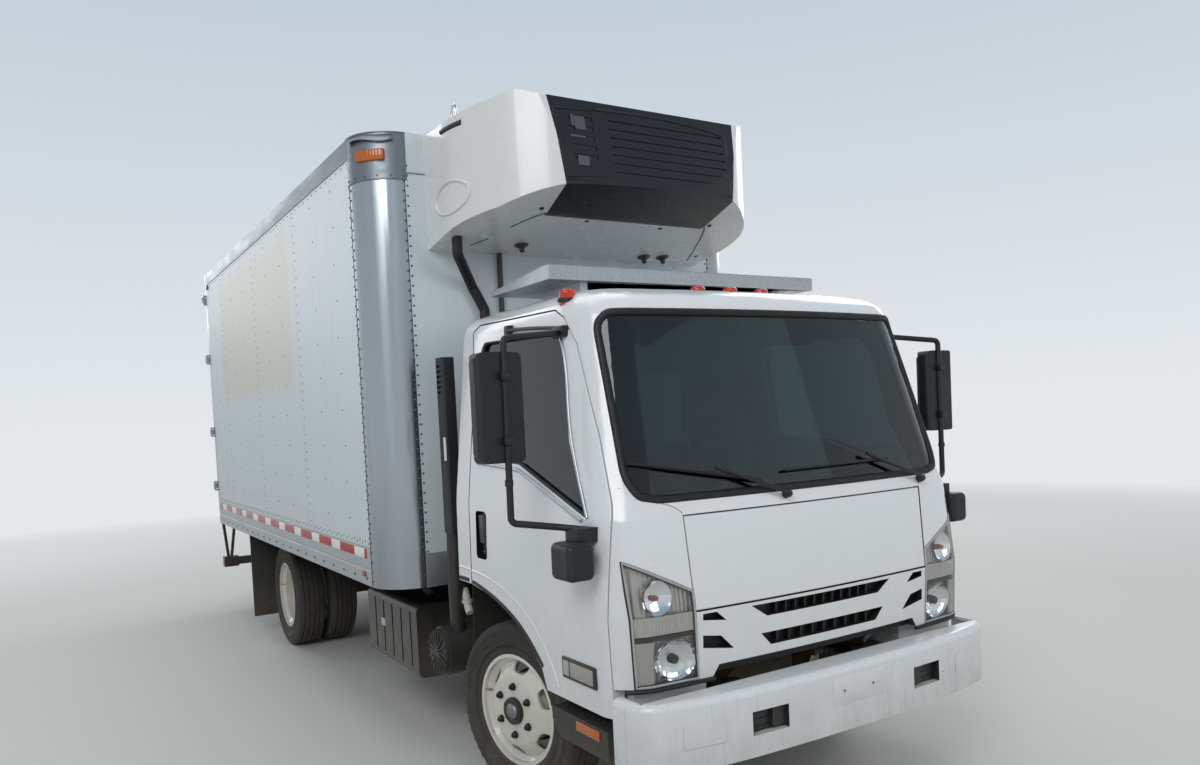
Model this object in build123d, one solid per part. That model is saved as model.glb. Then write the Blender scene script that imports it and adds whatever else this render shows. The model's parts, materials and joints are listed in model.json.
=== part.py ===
from build123d import *
import math
import os

# Refrigerated box truck: low cab over the engine, twin rear wheels, insulated body, cooling unit on its nose.
# Millimetres. X runs to the truck's left, Z up, and the truck faces -Y.
# Stations (y) are measured behind the front axle. SHIFT_Y then moves the finished truck, so that
# its origin lies on the ground under the middle of its overall length.

# Driving dimensions
WHEELBASE = 3810
NOSE_Y = -1235
TAIL_Y = 5725
SHIFT_Y = -(NOSE_Y + TAIL_Y) / 2

TYRE_RADIUS = 405
TYRE_WIDTH = 225
RIM_RADIUS = 261
FRONT_TRACK = 1666
REAR_TRACK = 1651
TWIN_SPACING = 254
KINGPIN_X = 742
REST_STEER = 12.5
ARM_LENGTH = 165
TIE_Z = 365

RAIL_X = 425
RAIL_TOP = 800
RAIL_DEPTH = 205
RAIL_FLANGE = 65
RAIL_GAUGE = 8
SPRING_X = 465
SPRING_WIDTH = 64
TOW_EYE_Y = 5450
TOW_EYE_Z = 550
TOW_EYE_RADIUS = 18
TOW_EYE_PLATE = 16

BODY_HALF = 1219
BODY_FRONT = 808
BODY_REAR = 5686
BODY_BOTTOM = 866
BODY_TOP = 3256
CORNER_RADIUS = 223
WALL = 75
FLOOR_BOTTOM = 960
FLOOR_TOP = 1080

CAB_BACK = 380
CAB_FLOOR = 960
CAB_WALL = 40
DOOR_THICKNESS = 70
TILT_Y = -980
TILT_Z = 780
TILT_TUBE_RADIUS = 19
GAP = 6
RUNNING_FIT = 0.05

nodes = {}


def add(name, *solids):
    """Put solids into the named piece."""
    nodes.setdefault(name, []).extend(solids)


def block(x0, x1, y0, y1, z0, z1):
    """A plain block between its low and high corners."""
    return Pos((x0 + x1) / 2, (y0 + y1) / 2, (z0 + z1) / 2) * Box(x1 - x0, y1 - y0, z1 - z0)


def side_block(side, near, far, y0, y1, z0, z1):
    """A block on one side of the truck, from near to far off its middle."""
    x0, x1 = sorted((side * near, side * far))
    return block(x0, x1, y0, y1, z0, z1)


def side_prism(outline, x0, x1):
    """An outline of (y, z) points seen from the side, given its width in X."""
    face = make_face(Polyline(*[(x0, y, z) for y, z in outline], close=True))
    return extrude(face, amount=x1 - x0, dir=(1, 0, 0))


def front_prism(outline, y0, y1):
    """An outline of (x, z) points seen from the front, given its length in Y."""
    face = make_face(Polyline(*[(x, y0, z) for x, z in outline], close=True))
    return extrude(face, amount=y1 - y0, dir=(0, 1, 0))


def rod(start, end, radius):
    """A round bar from one point to another."""
    start, end = Vector(*start), Vector(*end)
    plane = Plane(origin=start, z_dir=end - start)
    return extrude(plane * Circle(radius), amount=(end - start).length)


def pipe(points, radius, bend):
    """A round bar along straight runs joined by arcs."""
    path = FilletPolyline(*points, radius=bend)
    return sweep(Plane(origin=path @ 0, z_dir=path % 0) * Circle(radius), path=path)


def both_sides(solid):
    """A solid and its mirror image on the truck's other side."""
    return [solid, mirror(solid, about=Plane.YZ)]


# Frame: two channel rails that carry the spring hangers and the tow eyes, and the crossmembers
RAIL_FRONT, RAIL_END = -900, 5560
# Leaf springs: axle station, reach to each eye, eye height, leaves, underside of the pack at the axle
SPRINGS = ((0, 560, 545, 3, 456), (WHEELBASE, 640, 560, 5, 475))
LEAF = 12
EYE_RADIUS = 24
EYE_PIN = 14
SPRING_INNER = SPRING_X - SPRING_WIDTH / 2 - 0.5
SPRING_OUTER = SPRING_X + SPRING_WIDTH / 2 + 0.5


def rail():
    """One channel rail with its open side inwards, and the tow eye at its tail."""
    z0, z1 = RAIL_TOP - RAIL_DEPTH, RAIL_TOP
    web = block(RAIL_X - RAIL_GAUGE, RAIL_X, RAIL_FRONT, RAIL_END, z0, z1)
    lower = block(RAIL_X - RAIL_FLANGE, RAIL_X, RAIL_FRONT, RAIL_END, z0, z0 + RAIL_GAUGE)
    upper = block(RAIL_X - RAIL_FLANGE, RAIL_X, RAIL_FRONT, RAIL_END, z1 - RAIL_GAUGE, z1)
    eye = block(RAIL_X, RAIL_X + TOW_EYE_PLATE, TOW_EYE_Y - 60, TOW_EYE_Y + 60, TOW_EYE_Z - 45, z0 + 120)
    eye -= rod((RAIL_X - 20, TOW_EYE_Y, TOW_EYE_Z), (RAIL_X + 40, TOW_EYE_Y, TOW_EYE_Z), TOW_EYE_RADIUS)
    return web + lower + upper + eye


def hanger(station, eye_z):
    """A bracket on the rail that holds a spring's eye on a pin between two cheeks."""
    top, neck = RAIL_TOP - 60, eye_z + EYE_RADIUS + 10
    yoke = side_prism([(station - 75, top), (station - 34, neck), (station + 34, neck), (station + 75, top)],
                      RAIL_X, SPRING_OUTER + 10)
    cheek = [(station - 34, neck), (station - 30, eye_z - 26), (station + 30, eye_z - 26), (station + 34, neck)]
    inner = side_prism(cheek, RAIL_X, SPRING_INNER)
    outer = side_prism(cheek, SPRING_OUTER, SPRING_OUTER + 10)
    pin = rod((RAIL_X, station, eye_z - LEAF / 2), (SPRING_OUTER + 10, station, eye_z - LEAF / 2), EYE_PIN)
    return yoke + inner + outer + pin


frame_rail = rail()
for station, reach, eye_z, leaves, seat_z in SPRINGS:
    for end in (-1, 1):
        frame_rail += hanger(station + end * reach, eye_z)
add("frame_rails", *both_sides(frame_rail))

CROSSMEMBERS = (-880, 1500, 2300, 3050, 4480, 5500)
CHANNEL = 6
for station in CROSSMEMBERS:
    low, high, half = RAIL_TOP - RAIL_DEPTH + 70, RAIL_TOP - 20, RAIL_X - RAIL_GAUGE
    outline = [(station, low), (station + 50, low), (station + 50, low + CHANNEL),
               (station + CHANNEL, low + CHANNEL), (station + CHANNEL, high - CHANNEL),
               (station + 50, high - CHANNEL), (station + 50, high), (station, high)]
    add("crossmembers", side_prism(outline, -half, half))

# Cab mount: bumper arms and horns at the rails' front, the tube on which the cab tilts, and its rear rest
cab_mount = rod((-420, TILT_Y, TILT_Z), (420, TILT_Y, TILT_Z), TILT_TUBE_RADIUS)
HORN = [(-900, 640), (-1008, 755), (-1005, 805), (-960, 815), (-900, 790)]
for side in (-1, 1):
    x0, x1 = sorted((side * 385, side * RAIL_X))
    cab_mount += side_prism(HORN, x0, x1)
    cab_mount += side_block(side, 345, RAIL_X, -1130, -900, 520, 640)
    cab_mount += side_block(side, 345, RAIL_X, -930, -780, 540, RAIL_TOP - RAIL_DEPTH)
add("cab_mount", cab_mount)
REST_TOP = CAB_FLOOR - 15
rear_rest = block(-450, 450, 336, 376, REST_TOP - 60, REST_TOP)
for side in (-1, 1):
    rear_rest += side_block(side, 385, 450, 336, 376, RAIL_TOP, REST_TOP)
add("cab_mount", rear_rest)


# Springs, axles and drive line
def spring_pack(station, reach, eye_z, leaves, seat_z, side):
    """Leaves that lie on each other and get shorter downwards, with an eye at each end of the top one."""
    flat = 120
    centre_z = seat_z + leaves * LEAF
    x0 = side * SPRING_X - SPRING_WIDTH / 2
    pack = block(x0, x0 + SPRING_WIDTH, station - flat / 2, station + flat / 2, centre_z, centre_z + LEAF)
    for k in range(leaves):
        half = reach - k * (reach - 180) / leaves
        rise = (eye_z - centre_z) * (half - flat) / (reach - flat)
        top = [(station - half, centre_z + rise - k * LEAF), (station - flat, centre_z - k * LEAF),
               (station + flat, centre_z - k * LEAF), (station + half, centre_z + rise - k * LEAF)]
        pack += side_prism(top + [(y, z - LEAF) for y, z in reversed(top)], x0, x0 + SPRING_WIDTH)
    for end in (-1, 1):
        eye_y, pin_z = station + end * reach, eye_z - LEAF / 2
        pack += rod((x0, eye_y, pin_z), (x0 + SPRING_WIDTH, eye_y, pin_z), EYE_RADIUS)
        pack -= rod((x0 - 5, eye_y, pin_z), (x0 + SPRING_WIDTH + 5, eye_y, pin_z), EYE_PIN + RUNNING_FIT)
    return pack


for spring in SPRINGS:
    for side in (-1, 1):
        add("leaf_springs", spring_pack(*spring, side))

# The front axle's forged beam drops between its ends and carries the kingpins
KINGPIN_RADIUS = 15
BOSS_LOW, BOSS_HIGH = 350, 460
front_axle = front_prism([(-560, 400), (-500, 330), (500, 330), (560, 400), (640, 415), (640, 456), (540, 456),
                          (490, 400), (-490, 400), (-540, 456), (-640, 456), (-640, 415)], -40, 40)
for side in (-1, 1):
    front_axle += side_block(side, SPRING_X - 50, SPRING_X + 50, -75, 75, 400, 456)
    front_axle += side_block(side, 600, KINGPIN_X - 20, -35, 35, 370, 455)
    front_axle += Pos(side * KINGPIN_X, 0, (BOSS_LOW + BOSS_HIGH) / 2) * Cylinder(42, BOSS_HIGH - BOSS_LOW)
    front_axle += Pos(side * KINGPIN_X, 0, TYRE_RADIUS) * Cylinder(KINGPIN_RADIUS, 164)
add("front_axle", front_axle)


def turned(section, x, y, side=1):
    """A section of (across, radius) points turned about a wheel axis; side -1 mirrors it."""
    face = make_face(Polyline(*[(side * u, v, 0) for u, v in section], close=True))
    return Pos(x, y, TYRE_RADIUS) * revolve(face, Axis.X)


PINION_Z = TYRE_RADIUS + 12
AXLE_TUBE, AXLE_SPINDLE = 62, 45
TUBE_END = 625
rear_axle = turned([(-90, 0), (-90, 100), (-55, 165), (55, 165), (90, 100), (90, 0)], 0, WHEELBASE)
rear_axle += rod((0, WHEELBASE - 60, TYRE_RADIUS), (0, WHEELBASE - 260, PINION_Z), 70)
for side in (-1, 1):
    rear_axle += turned([(0, 0), (0, AXLE_TUBE), (TUBE_END, AXLE_TUBE), (TUBE_END, AXLE_SPINDLE),
                         (REAR_TRACK / 2 + 40, AXLE_SPINDLE), (REAR_TRACK / 2 + 40, 0)], 0, WHEELBASE, side)
    rear_axle += turned([(TUBE_END - 20, 50), (TUBE_END - 20, 170), (TUBE_END - 8, 170), (TUBE_END - 8, 50)],
                        0, WHEELBASE, side)
    rear_axle += side_block(side, SPRING_X - 50, SPRING_X + 50, WHEELBASE - 90, WHEELBASE + 90, 420, 475)
add("rear_axle", rear_axle)

GEARBOX_END = 1000
engine = block(-300, 300, -560, 330, 480, 1120)
engine += block(-190, 190, 330, GEARBOX_END, 480, 800)
add("engine", engine)
shaft_end = WHEELBASE - 250
driveshaft = rod((0, GEARBOX_END, 640), (0, shaft_end, PINION_Z), 45)
driveshaft += rod((0, GEARBOX_END, 640), (0, GEARBOX_END + 60, 635), 62)
driveshaft += rod((0, shaft_end - 60, PINION_Z + 5), (0, shaft_end, PINION_Z), 60)
add("driveshaft", driveshaft - engine - rear_axle)

MUFFLER_X, MUFFLER_Z = 300, 470
muffler = rod((MUFFLER_X, 1250, MUFFLER_Z), (MUFFLER_X, 2000, MUFFLER_Z), 110)
muffler += pipe([(240, 330, 530), (MUFFLER_X, 800, MUFFLER_Z), (MUFFLER_X, 1260, MUFFLER_Z)], 30, 120)
muffler += pipe([(MUFFLER_X, 1990, MUFFLER_Z), (MUFFLER_X, 2420, MUFFLER_Z), (620, 2760, MUFFLER_Z)], 38, 120)
for station in (1400, 1820):
    muffler += block(385, 395, station, station + 30, MUFFLER_Z, RAIL_TOP - RAIL_DEPTH)
add("exhaust", muffler - engine)


# Fuel tank, battery box and air intake on the rails' outer sides
def side_tank(side, inner, outer, y0, y1, z0, z1, radius, strap_low):
    """A rectangular tank along the frame with rounded long edges, held by two arms."""
    tank = fillet(side_block(side, inner, outer, y0, y1, z0, z1).edges().filter_by(Axis.Y), radius)
    for station in (y0 + 190, y1 - 190):
        tank += side_block(side, RAIL_X, inner + 20, station - 30, station + 30, strap_low, RAIL_TOP - 20)
    return tank


TANK_FRONT, TANK_REAR, TANK_OUTER = 990, 1830, 1000
fuel_tank = side_tank(-1, 450, TANK_OUTER, TANK_FRONT, TANK_REAR, 330, 740, 45, 600)
for k in range(5):
    groove_y = TANK_FRONT + 90 + k * 150
    fuel_tank -= block(-TANK_OUTER - 5, -TANK_OUTER + 9, groove_y, groove_y + 22, 380, 690)
for station in (TANK_FRONT, TANK_REAR - 9):
    fuel_tank -= block(-900, -560, station, station + 9, 400, 670)
add("fuel_tank", fuel_tank)
add("battery_box", side_tank(1, 500, 980, 1150, 1800, 380, 760, 20, 600))

CANISTER_Y, CANISTER_Z = 640, 560
intake = fillet(block(-985, -915, 470, 560, 1180, 2060).edges().filter_by(Axis.Z), 14)
for k in range(6):
    intake -= block(-990, -975, 485, 545, 1880 + k * 26, 1892 + k * 26)
intake += pipe([(-950, 515, 1190), (-950, 530, 900), (-920, 600, 650)], 38, 60)
intake += rod((-1000, CANISTER_Y, CANISTER_Z), (-790, CANISTER_Y, CANISTER_Z), 125)
intake += rod((-1022, CANISTER_Y, CANISTER_Z), (-1000, CANISTER_Y, CANISTER_Z), 112)
for k in range(8):
    rib = Pos(-1026, CANISTER_Y, CANISTER_Z) * Rot(k * 22.5, 0, 0) * Box(12, 222, 7)
    intake += rib
intake += block(-800, -RAIL_X, 650, 700, 620, 680)
add("air_intake", intake)


# Wheels: tyres, dished disc rims with their hubs and drums, steering knuckles and tie rod
BEAD = 248
RIM_HALF = 90.5
HAND_HOLES = 6
HAND_HOLE_CIRCLE = 200
NUT_FACE = 95


def tyre(x, y):
    """A tyre's section turned about the wheel axis, with its tread towards the road."""
    half = [(RIM_HALF, BEAD), (RIM_HALF, RIM_RADIUS + 2), (104, 278), (TYRE_WIDTH / 2, 330),
            (108, 372), (98, 391), (80, 402), (45, TYRE_RADIUS)]
    return turned(half + [(-u, v) for u, v in reversed(half)], x, y)


def rim(x, y, side, disc):
    """A rim and its domed disc. Disc is where the mounting face lies, outwards of the rim's middle."""
    outer = [(RIM_HALF + 5, 240), (RIM_HALF + 5, RIM_RADIUS), (RIM_HALF, RIM_RADIUS), (RIM_HALF, BEAD),
             (RIM_HALF - 8, BEAD), (60, 224)]
    inner = [(56, 214), (RIM_HALF - 12, 238)]
    ring = outer + [(-u, v) for u, v in reversed(outer)] + [(-u, v) for u, v in inner[::-1]] + inner
    dish = turned([(disc, 62), (disc, 148), (disc - 18, 180), (50, 216), (62, 216), (disc - 6, 182),
                   (disc + 10, 152), (disc + 10, 62)], x, y, side)
    for k in range(HAND_HOLES):
        angle = math.radians(360 / HAND_HOLES * k + 37)
        out = (0, math.cos(angle), math.sin(angle))
        centre = (x - 150, y + HAND_HOLE_CIRCLE * out[1], TYRE_RADIUS + HAND_HOLE_CIRCLE * out[2])
        slot = Plane(origin=centre, x_dir=(0, -out[2], out[1]), z_dir=(1, 0, 0)) * SlotOverall(96, 54)
        dish -= extrude(slot, amount=300)
    return turned(ring, x, y, side) + dish


def steered(solid, side):
    """Turn a front wheel piece about its kingpin to the angle at which the truck is parked."""
    pin = Pos(side * KINGPIN_X, 0, 0)
    return pin * (Rot(0, 0, REST_STEER) * (pin.inverse() * solid))


SPINDLE_RADIUS = 35
EAR_LOW, EAR_HIGH = 325, 485
EAR = 22
FRONT_BORE = SPINDLE_RADIUS + RUNNING_FIT
FRONT_HUB = [(-15, 140), (-15, 155), (70, 155), (75, 148), (NUT_FACE, 148), (NUT_FACE, 64), (108, 60),
             (118, 45), (118, 0), (88, 0), (88, FRONT_BORE), (-5, FRONT_BORE), (-5, 70), (62, 70), (62, 140)]
for side, name in ((1, "left"), (-1, "right")):
    wheel_x, pin_x = side * FRONT_TRACK / 2, side * KINGPIN_X
    add("front_tyre_" + name, steered(tyre(wheel_x, 0), side))
    front_rim = rim(wheel_x, 0, side, NUT_FACE) + turned(FRONT_HUB, wheel_x, 0, side)
    add("front_rim_" + name, steered(front_rim, side))
    knuckle = side_block(side, KINGPIN_X + 46, KINGPIN_X + 64, -45, 45, EAR_LOW, EAR_HIGH)
    knuckle += rod((pin_x + side * 60, 0, TYRE_RADIUS), (wheel_x + side * 80, 0, TYRE_RADIUS), SPINDLE_RADIUS)
    knuckle += turned([(64, 30), (64, 168), (70, 168), (70, 30)], pin_x, 0, side)
    for ear_z in (EAR_LOW, EAR_HIGH - EAR):
        knuckle += Pos(pin_x, 0, ear_z + EAR / 2) * Cylinder(36, EAR)
        knuckle += side_block(side, KINGPIN_X, KINGPIN_X + 50, -36, 36, ear_z, ear_z + EAR)
    knuckle += block(pin_x - 18, pin_x + 18, 20, ARM_LENGTH + 18, EAR_LOW, EAR_LOW + 20)
    knuckle += rod((pin_x, ARM_LENGTH, EAR_LOW + 10), (pin_x, ARM_LENGTH, TIE_Z + 13), 8)
    knuckle -= Pos(pin_x, 0, TYRE_RADIUS) * Cylinder(KINGPIN_RADIUS + RUNNING_FIT, EAR_HIGH - EAR_LOW + 20)
    add("knuckle_" + name, steered(knuckle, side))

# Both rear rims of a side are the front rim, disc to disc, on one hub and drum
TWIN_DISC = TWIN_SPACING / 2 - 10
REAR_BORE = AXLE_SPINDLE + RUNNING_FIT
REAR_HUB = [(-190, 165), (-190, 180), (-60, 180), (-45, 148), (-10, 148), (-10, 63), (60, 60), (75, 46),
            (75, 0), (50, 0), (50, REAR_BORE), (-185, REAR_BORE), (-185, 75), (-75, 75), (-75, 165)]
for side, name in ((1, "left"), (-1, "right")):
    middle = side * REAR_TRACK / 2
    outer_x, inner_x = middle + side * TWIN_SPACING / 2, middle - side * TWIN_SPACING / 2
    add("rear_tyres_" + name, tyre(outer_x, WHEELBASE), tyre(inner_x, WHEELBASE))
    rims = rim(outer_x, WHEELBASE, -side, TWIN_DISC) + rim(inner_x, WHEELBASE, side, TWIN_DISC)
    add("rear_rims_" + name, rims + turned(REAR_HUB, middle, WHEELBASE, side))

turn = math.radians(REST_STEER)
tie_shift, tie_y = -ARM_LENGTH * math.sin(turn), ARM_LENGTH * math.cos(turn)
tie = rod((tie_shift - KINGPIN_X, tie_y, TIE_Z), (tie_shift + KINGPIN_X, tie_y, TIE_Z), 11)
for side in (-1, 1):
    tie += Pos(tie_shift + side * KINGPIN_X, tie_y, TIE_Z) * Cylinder(18, 26)
    tie -= Pos(tie_shift + side * KINGPIN_X, tie_y, TIE_Z) * Cylinder(8 + RUNNING_FIT, 40)
add("tie_rod", tie)


# Cab: one form lofted through plan sections, split into shell, doors, lid, lamps, grille and glass
# Each level: height, half width, front face at the middle, front corner radius, back face
CAB_LEVELS = (
    (560, 978, -1078, 165, CAB_BACK),
    (980, 990, -1092, 170, CAB_BACK),
    (1345, 984, -1060, 190, CAB_BACK),
    (1410, 978, -1043, 215, CAB_BACK),
    (2143, 897, -844, 220, CAB_BACK),
    (2190, 884, -815, 215, CAB_BACK - 12),
    (2225, 850, -765, 200, CAB_BACK - 45),
    (2252, 780, -670, 180, CAB_BACK - 110),
    (2270, 640, -500, 160, CAB_BACK - 230),
)
BOW = 38
ROOF_STARTS = 1500


def cab_section(z, half, front, corner, back):
    """One plan section: bowed front, round front corners, straight sides and back."""
    turn = half - corner
    side_y = front + BOW + corner
    slant = corner * math.sin(math.radians(45))
    edges = [Line((-half, back, z), (half, back, z)),
             Line((half, back, z), (half, side_y, z)),
             ThreePointArc((half, side_y, z), (turn + slant, side_y - slant, z), (turn, front + BOW, z)),
             ThreePointArc((turn, front + BOW, z), (0, front, z), (-turn, front + BOW, z)),
             ThreePointArc((-turn, front + BOW, z), (-turn - slant, side_y - slant, z), (-half, side_y, z)),
             Line((-half, side_y, z), (-half, back, z))]
    return make_face(edges)


def cab_form(inset):
    """The cab's outer form, shrunk evenly by inset."""
    faces = [cab_section(z - (inset if z > ROOF_STARTS else 0), half - inset, front + inset,
                         max(corner - inset, 40), back - inset)
             for z, half, front, corner, back in CAB_LEVELS]
    return loft(faces, ruled=True)


def outset(outline, amounts):
    """An outline moved outwards point by point, each by its own (y, z) amount."""
    return [(y + dy, z + dz) for (y, z), (dy, dz) in zip(outline, amounts)]


WIDE = 1100
ARCH = [(-479, 400), (-473, 567), (-425, 690), (-308, 800), (-150, 880), (60, 935), (246, 962), (600, 962),
        (600, 400)]
DOOR_OUTLINE = [(-945, 500), (-950, 1350), (-845, 1655), (-690, 2020), (-600, 2130), (-520, 2168), (215, 2186),
                (272, 2160), (250, 1990), (232, 1860), (230, 880), (200, 500)]
DOOR_GAPS = [(-GAP, 0), (-GAP, 2), (-GAP, 2), (-GAP, 2), (-4, GAP), (-2, GAP), (0, GAP), (7, 4), (GAP, 0),
             (GAP, 0), (GAP, 0), (GAP, 0)]
DOOR_SILL = 606
WINDOW_OUTLINE = [(-835, 1352), (-690, 1640), (-625, 1980), (-560, 2060), (-470, 2084), (140, 2100), (172, 2070),
                  (150, 1560), (-270, 1540)]
WINDSHIELD = [(-868, 1500), (-840, 1425), (-760, 1408), (760, 1408), (840, 1425), (868, 1500), (838, 2090),
              (800, 2135), (-800, 2135), (-838, 2090)]
REAR_WINDOW = [(-430, 1540), (430, 1540), (410, 1960), (-410, 1960)]
LID = [(-655, 985), (655, 985), (668, 1340), (-668, 1340)]
LID_OPENING = [(-661, 979), (661, 979), (674, 1346), (-674, 1346)]
LAMP = [(652, 728), (908, 728), (928, 1190), (664, 1060)]
# Grille slots as seen from the front, the right ones mirrored
UPPER_SLOT = [(-318, 916), (318, 916), (396, 966), (-396, 966)]
LOWER_SLOT = [(-302, 799), (302, 799), (350, 850), (-350, 850)]
SIDE_SLOTS = ([(518, 930), (626, 944), (626, 968), (562, 968)],
              [(485, 815), (628, 838), (628, 886), (544, 873)])
LOWER_GAP = [(-600, 700), (600, 700), (556, 764), (-556, 764)]
STEP_FRONT, STEP_BACK = -935, -520

outer_form = cab_form(0)
inner_form = cab_form(CAB_WALL)
lens_band = outer_form - cab_form(30)
shell = outer_form - (inner_form - block(-WIDE, WIDE, -1300, 600, 400, CAB_FLOOR + 30))
shell -= inner_form & block(-WIDE, WIDE, -1300, 600, 400, CAB_FLOOR)
shell -= block(-WIDE, WIDE, -1300, 600, 400, 722)
shell -= side_prism(ARCH, -WIDE, WIDE)
shell -= front_prism(WINDSHIELD, -1200, -500)
shell -= front_prism(REAR_WINDOW, 300, 420)
shell -= front_prism(LID_OPENING, -1200, -1000)
slots = [UPPER_SLOT, LOWER_SLOT, LOWER_GAP]
slots += [[(sign * x, z) for x, z in outline] for outline in SIDE_SLOTS for sign in (-1, 1)]
for outline in slots:
    shell -= front_prism(outline, -1200, -1000)
door_opening = side_prism(outset(DOOR_OUTLINE, DOOR_GAPS), 300, WIDE)
for solid in both_sides(door_opening):
    shell -= solid

TUNNEL_HALF, TUNNEL_TOP = 360, 1200
tunnel = block(-TUNNEL_HALF, TUNNEL_HALF, -700, CAB_BACK - 5, CAB_FLOOR - 10, TUNNEL_TOP)
tunnel_inside = block(-TUNNEL_HALF + 30, TUNNEL_HALF - 30, -670, CAB_BACK + 10, CAB_FLOOR - 60, TUNNEL_TOP - 30)
shell = (shell - tunnel_inside) + (tunnel - tunnel_inside)
for side in (-1, 1):
    well = side_block(side, 560, 900, -985, -500, 620, CAB_FLOOR + 5)
    well -= side_block(side, 580, 910, STEP_FRONT, STEP_BACK, 640, CAB_FLOOR + 60)
    shell += well & outer_form
    shell -= side_block(side, 580, 885, STEP_FRONT, STEP_BACK, CAB_FLOOR - 20, CAB_FLOOR + 40)
    x0, x1 = sorted((side * 330, side * 365))
    lug = side_prism([(-1026, 980), (-1026, 900), (-1015, 760), (-980, 742), (-942, 760), (-880, 980)], x0, x1)
    shell += lug - rod((x0 - 5, TILT_Y, TILT_Z), (x1 + 5, TILT_Y, TILT_Z), TILT_TUBE_RADIUS + RUNNING_FIT)

lamp_zone = front_prism(LAMP, -1200, -952)
for zone in both_sides(lamp_zone):
    add("headlamps", lens_band & zone)
    shell -= zone
add("cab_shell", shell)
add("front_lid", (outer_form - cab_form(22)) & front_prism(LID, -1200, -900))
add("cab_glass", (cab_form(6) - cab_form(14)) & front_prism(WINDSHIELD, -1200, -500),
    front_prism(REAR_WINDOW, CAB_BACK - 24, CAB_BACK - 16))

# The grille is a dark insert behind the slots, with upright bars that stand in the two long ones
insert = (cab_form(CAB_WALL + 0.4) - cab_form(CAB_WALL + 4.4)) & front_prism(
    [(-636, 726), (636, 726), (636, 976), (-636, 976)], -1200, -950)
bar_band = cab_form(14) - cab_form(CAB_WALL + 2)
for outline, pitch in ((UPPER_SLOT, 52), (LOWER_SLOT, 64)):
    low, high = outline[0][1] + 1, outline[2][1] - 1
    reach = outline[1][0] - 12
    count = int(reach // pitch)
    for k in range(-count, count + 1):
        insert += bar_band & block(k * pitch - 4, k * pitch + 4, -1200, -950, low, high)
insert -= block(-640, 640, -1200, -950, CAB_FLOOR - 1, CAB_FLOOR + 60)
add("grille", insert)

# Doors: the form less a wedge that follows the tumblehome, with the window and the handle's recess cut
wedge = [(half - DOOR_THICKNESS, z) for z, half, front, corner, back in CAB_LEVELS[1:5]]
wedge = [(CAB_LEVELS[0][1] - DOOR_THICKNESS, 500)] + wedge + [(810, 2300), (0, 2300), (0, 500)]
door_band = outer_form - front_prism(wedge, -1300, 600) - side_prism(ARCH, -WIDE, WIDE)
window = side_prism(WINDOW_OUTLINE, 300, WIDE)
RECESS_FLOOR = 962
recess = side_prism([(52, 1104), (70, 1094), (150, 1094), (166, 1108), (160, 1306), (144, 1316), (64, 1316),
                     (46, 1304)], RECESS_FLOOR, WIDE)
panel = (door_band & side_prism(DOOR_OUTLINE, 300, WIDE)) - window - recess
panel -= block(300, WIDE, -1000, 300, 400, DOOR_SILL)
pane = (cab_form(18) - cab_form(24)) & window
for piece, node in ((panel, "door_"), (pane, "door_glass_")):
    left, right = both_sides(piece)
    add(node + "left", left)
    add(node + "right", right)

# Mirrors: a tubular loop from the door's top to its hinge side, a tall head and a small wide-angle one
ARM_X, ARM_Y = 1240, -730
arm = pipe([(922, -600, 2070), (ARM_X - 5, ARM_Y, 2035), (ARM_X, ARM_Y, 1350), (1080, -800, 1325),
            (1020, -850, 1315)], 13, 24)
arm += side_block(1, 970, 1060, -905, -815, 1268, 1322)
head = fillet(block(1155, 1350, -728, -655, 1575, 1985).edges().filter_by(Axis.Z), 22)
small_head = fillet(block(1015, 1130, -955, -805, 1135, 1275).edges(), 26)
for piece, node in zip(both_sides((arm + head + small_head) - panel), ("mirror_left", "mirror_right")):
    add(node, piece)

# Marker lamps over the windshield, the lining of the arches and the cab's inside
ROOF_LAMPS = (-857, -186, 0, 186, 857)
for x in ROOF_LAMPS:
    dome = Pos(x, -570, 2218 + 36 * (1 - (x / 860) ** 2)) * Cylinder(34, 66)
    add("roof_lamps", fillet(dome.edges().sort_by(Axis.Z)[-1], 18) - outer_form)

ARCH_LINER = [(-473, 570), (-425, 690), (-308, 800), (-150, 880), (60, 935), (246, 962), (440, 962), (466, 520),
              (460, 520), (434, 956), (246, 956), (62, 929), (-147, 874), (-303, 795), (-419, 687), (-466, 568)]
add("arch_liners", *both_sides(side_prism(ARCH_LINER, 620, 898)))

DASH = [(-1010, 1300), (-780, 1315), (-700, 1260), (-705, 1180), (-760, 1100), (-925, 1100), (-1010, 1100)]
dashboard = side_prism(DASH, -880, 880) & inner_form
add("dashboard", dashboard)
for side in (-1, 1):
    x0, x1 = sorted((side * 370, side * 810))
    seat = fillet(block(x0, x1, -330, 180, CAB_FLOOR + 30, 1190).edges().filter_by(Axis.Z), 40)
    back = [(120, 1150), (250, 1150), (300, 1740), (215, 1760)]
    seat += side_prism(back, x0 + 10, x1 - 10)
    add("seats", seat)
WHEEL_CENTRE = (590, -560, 1345)
wheel_plane = Plane(origin=WHEEL_CENTRE, z_dir=(0, 0.55, 1))
wheel_rim = revolve(Plane.XZ * (Pos(205, 0) * RegularPolygon(14, 8)), Axis.Z)
steering = wheel_plane * (wheel_rim + Box(392, 40, 12) + Cylinder(50, 30))
steering += rod(WHEEL_CENTRE, (590, -740, 1055), 28)
add("steering_wheel", steering - dashboard)


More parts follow.
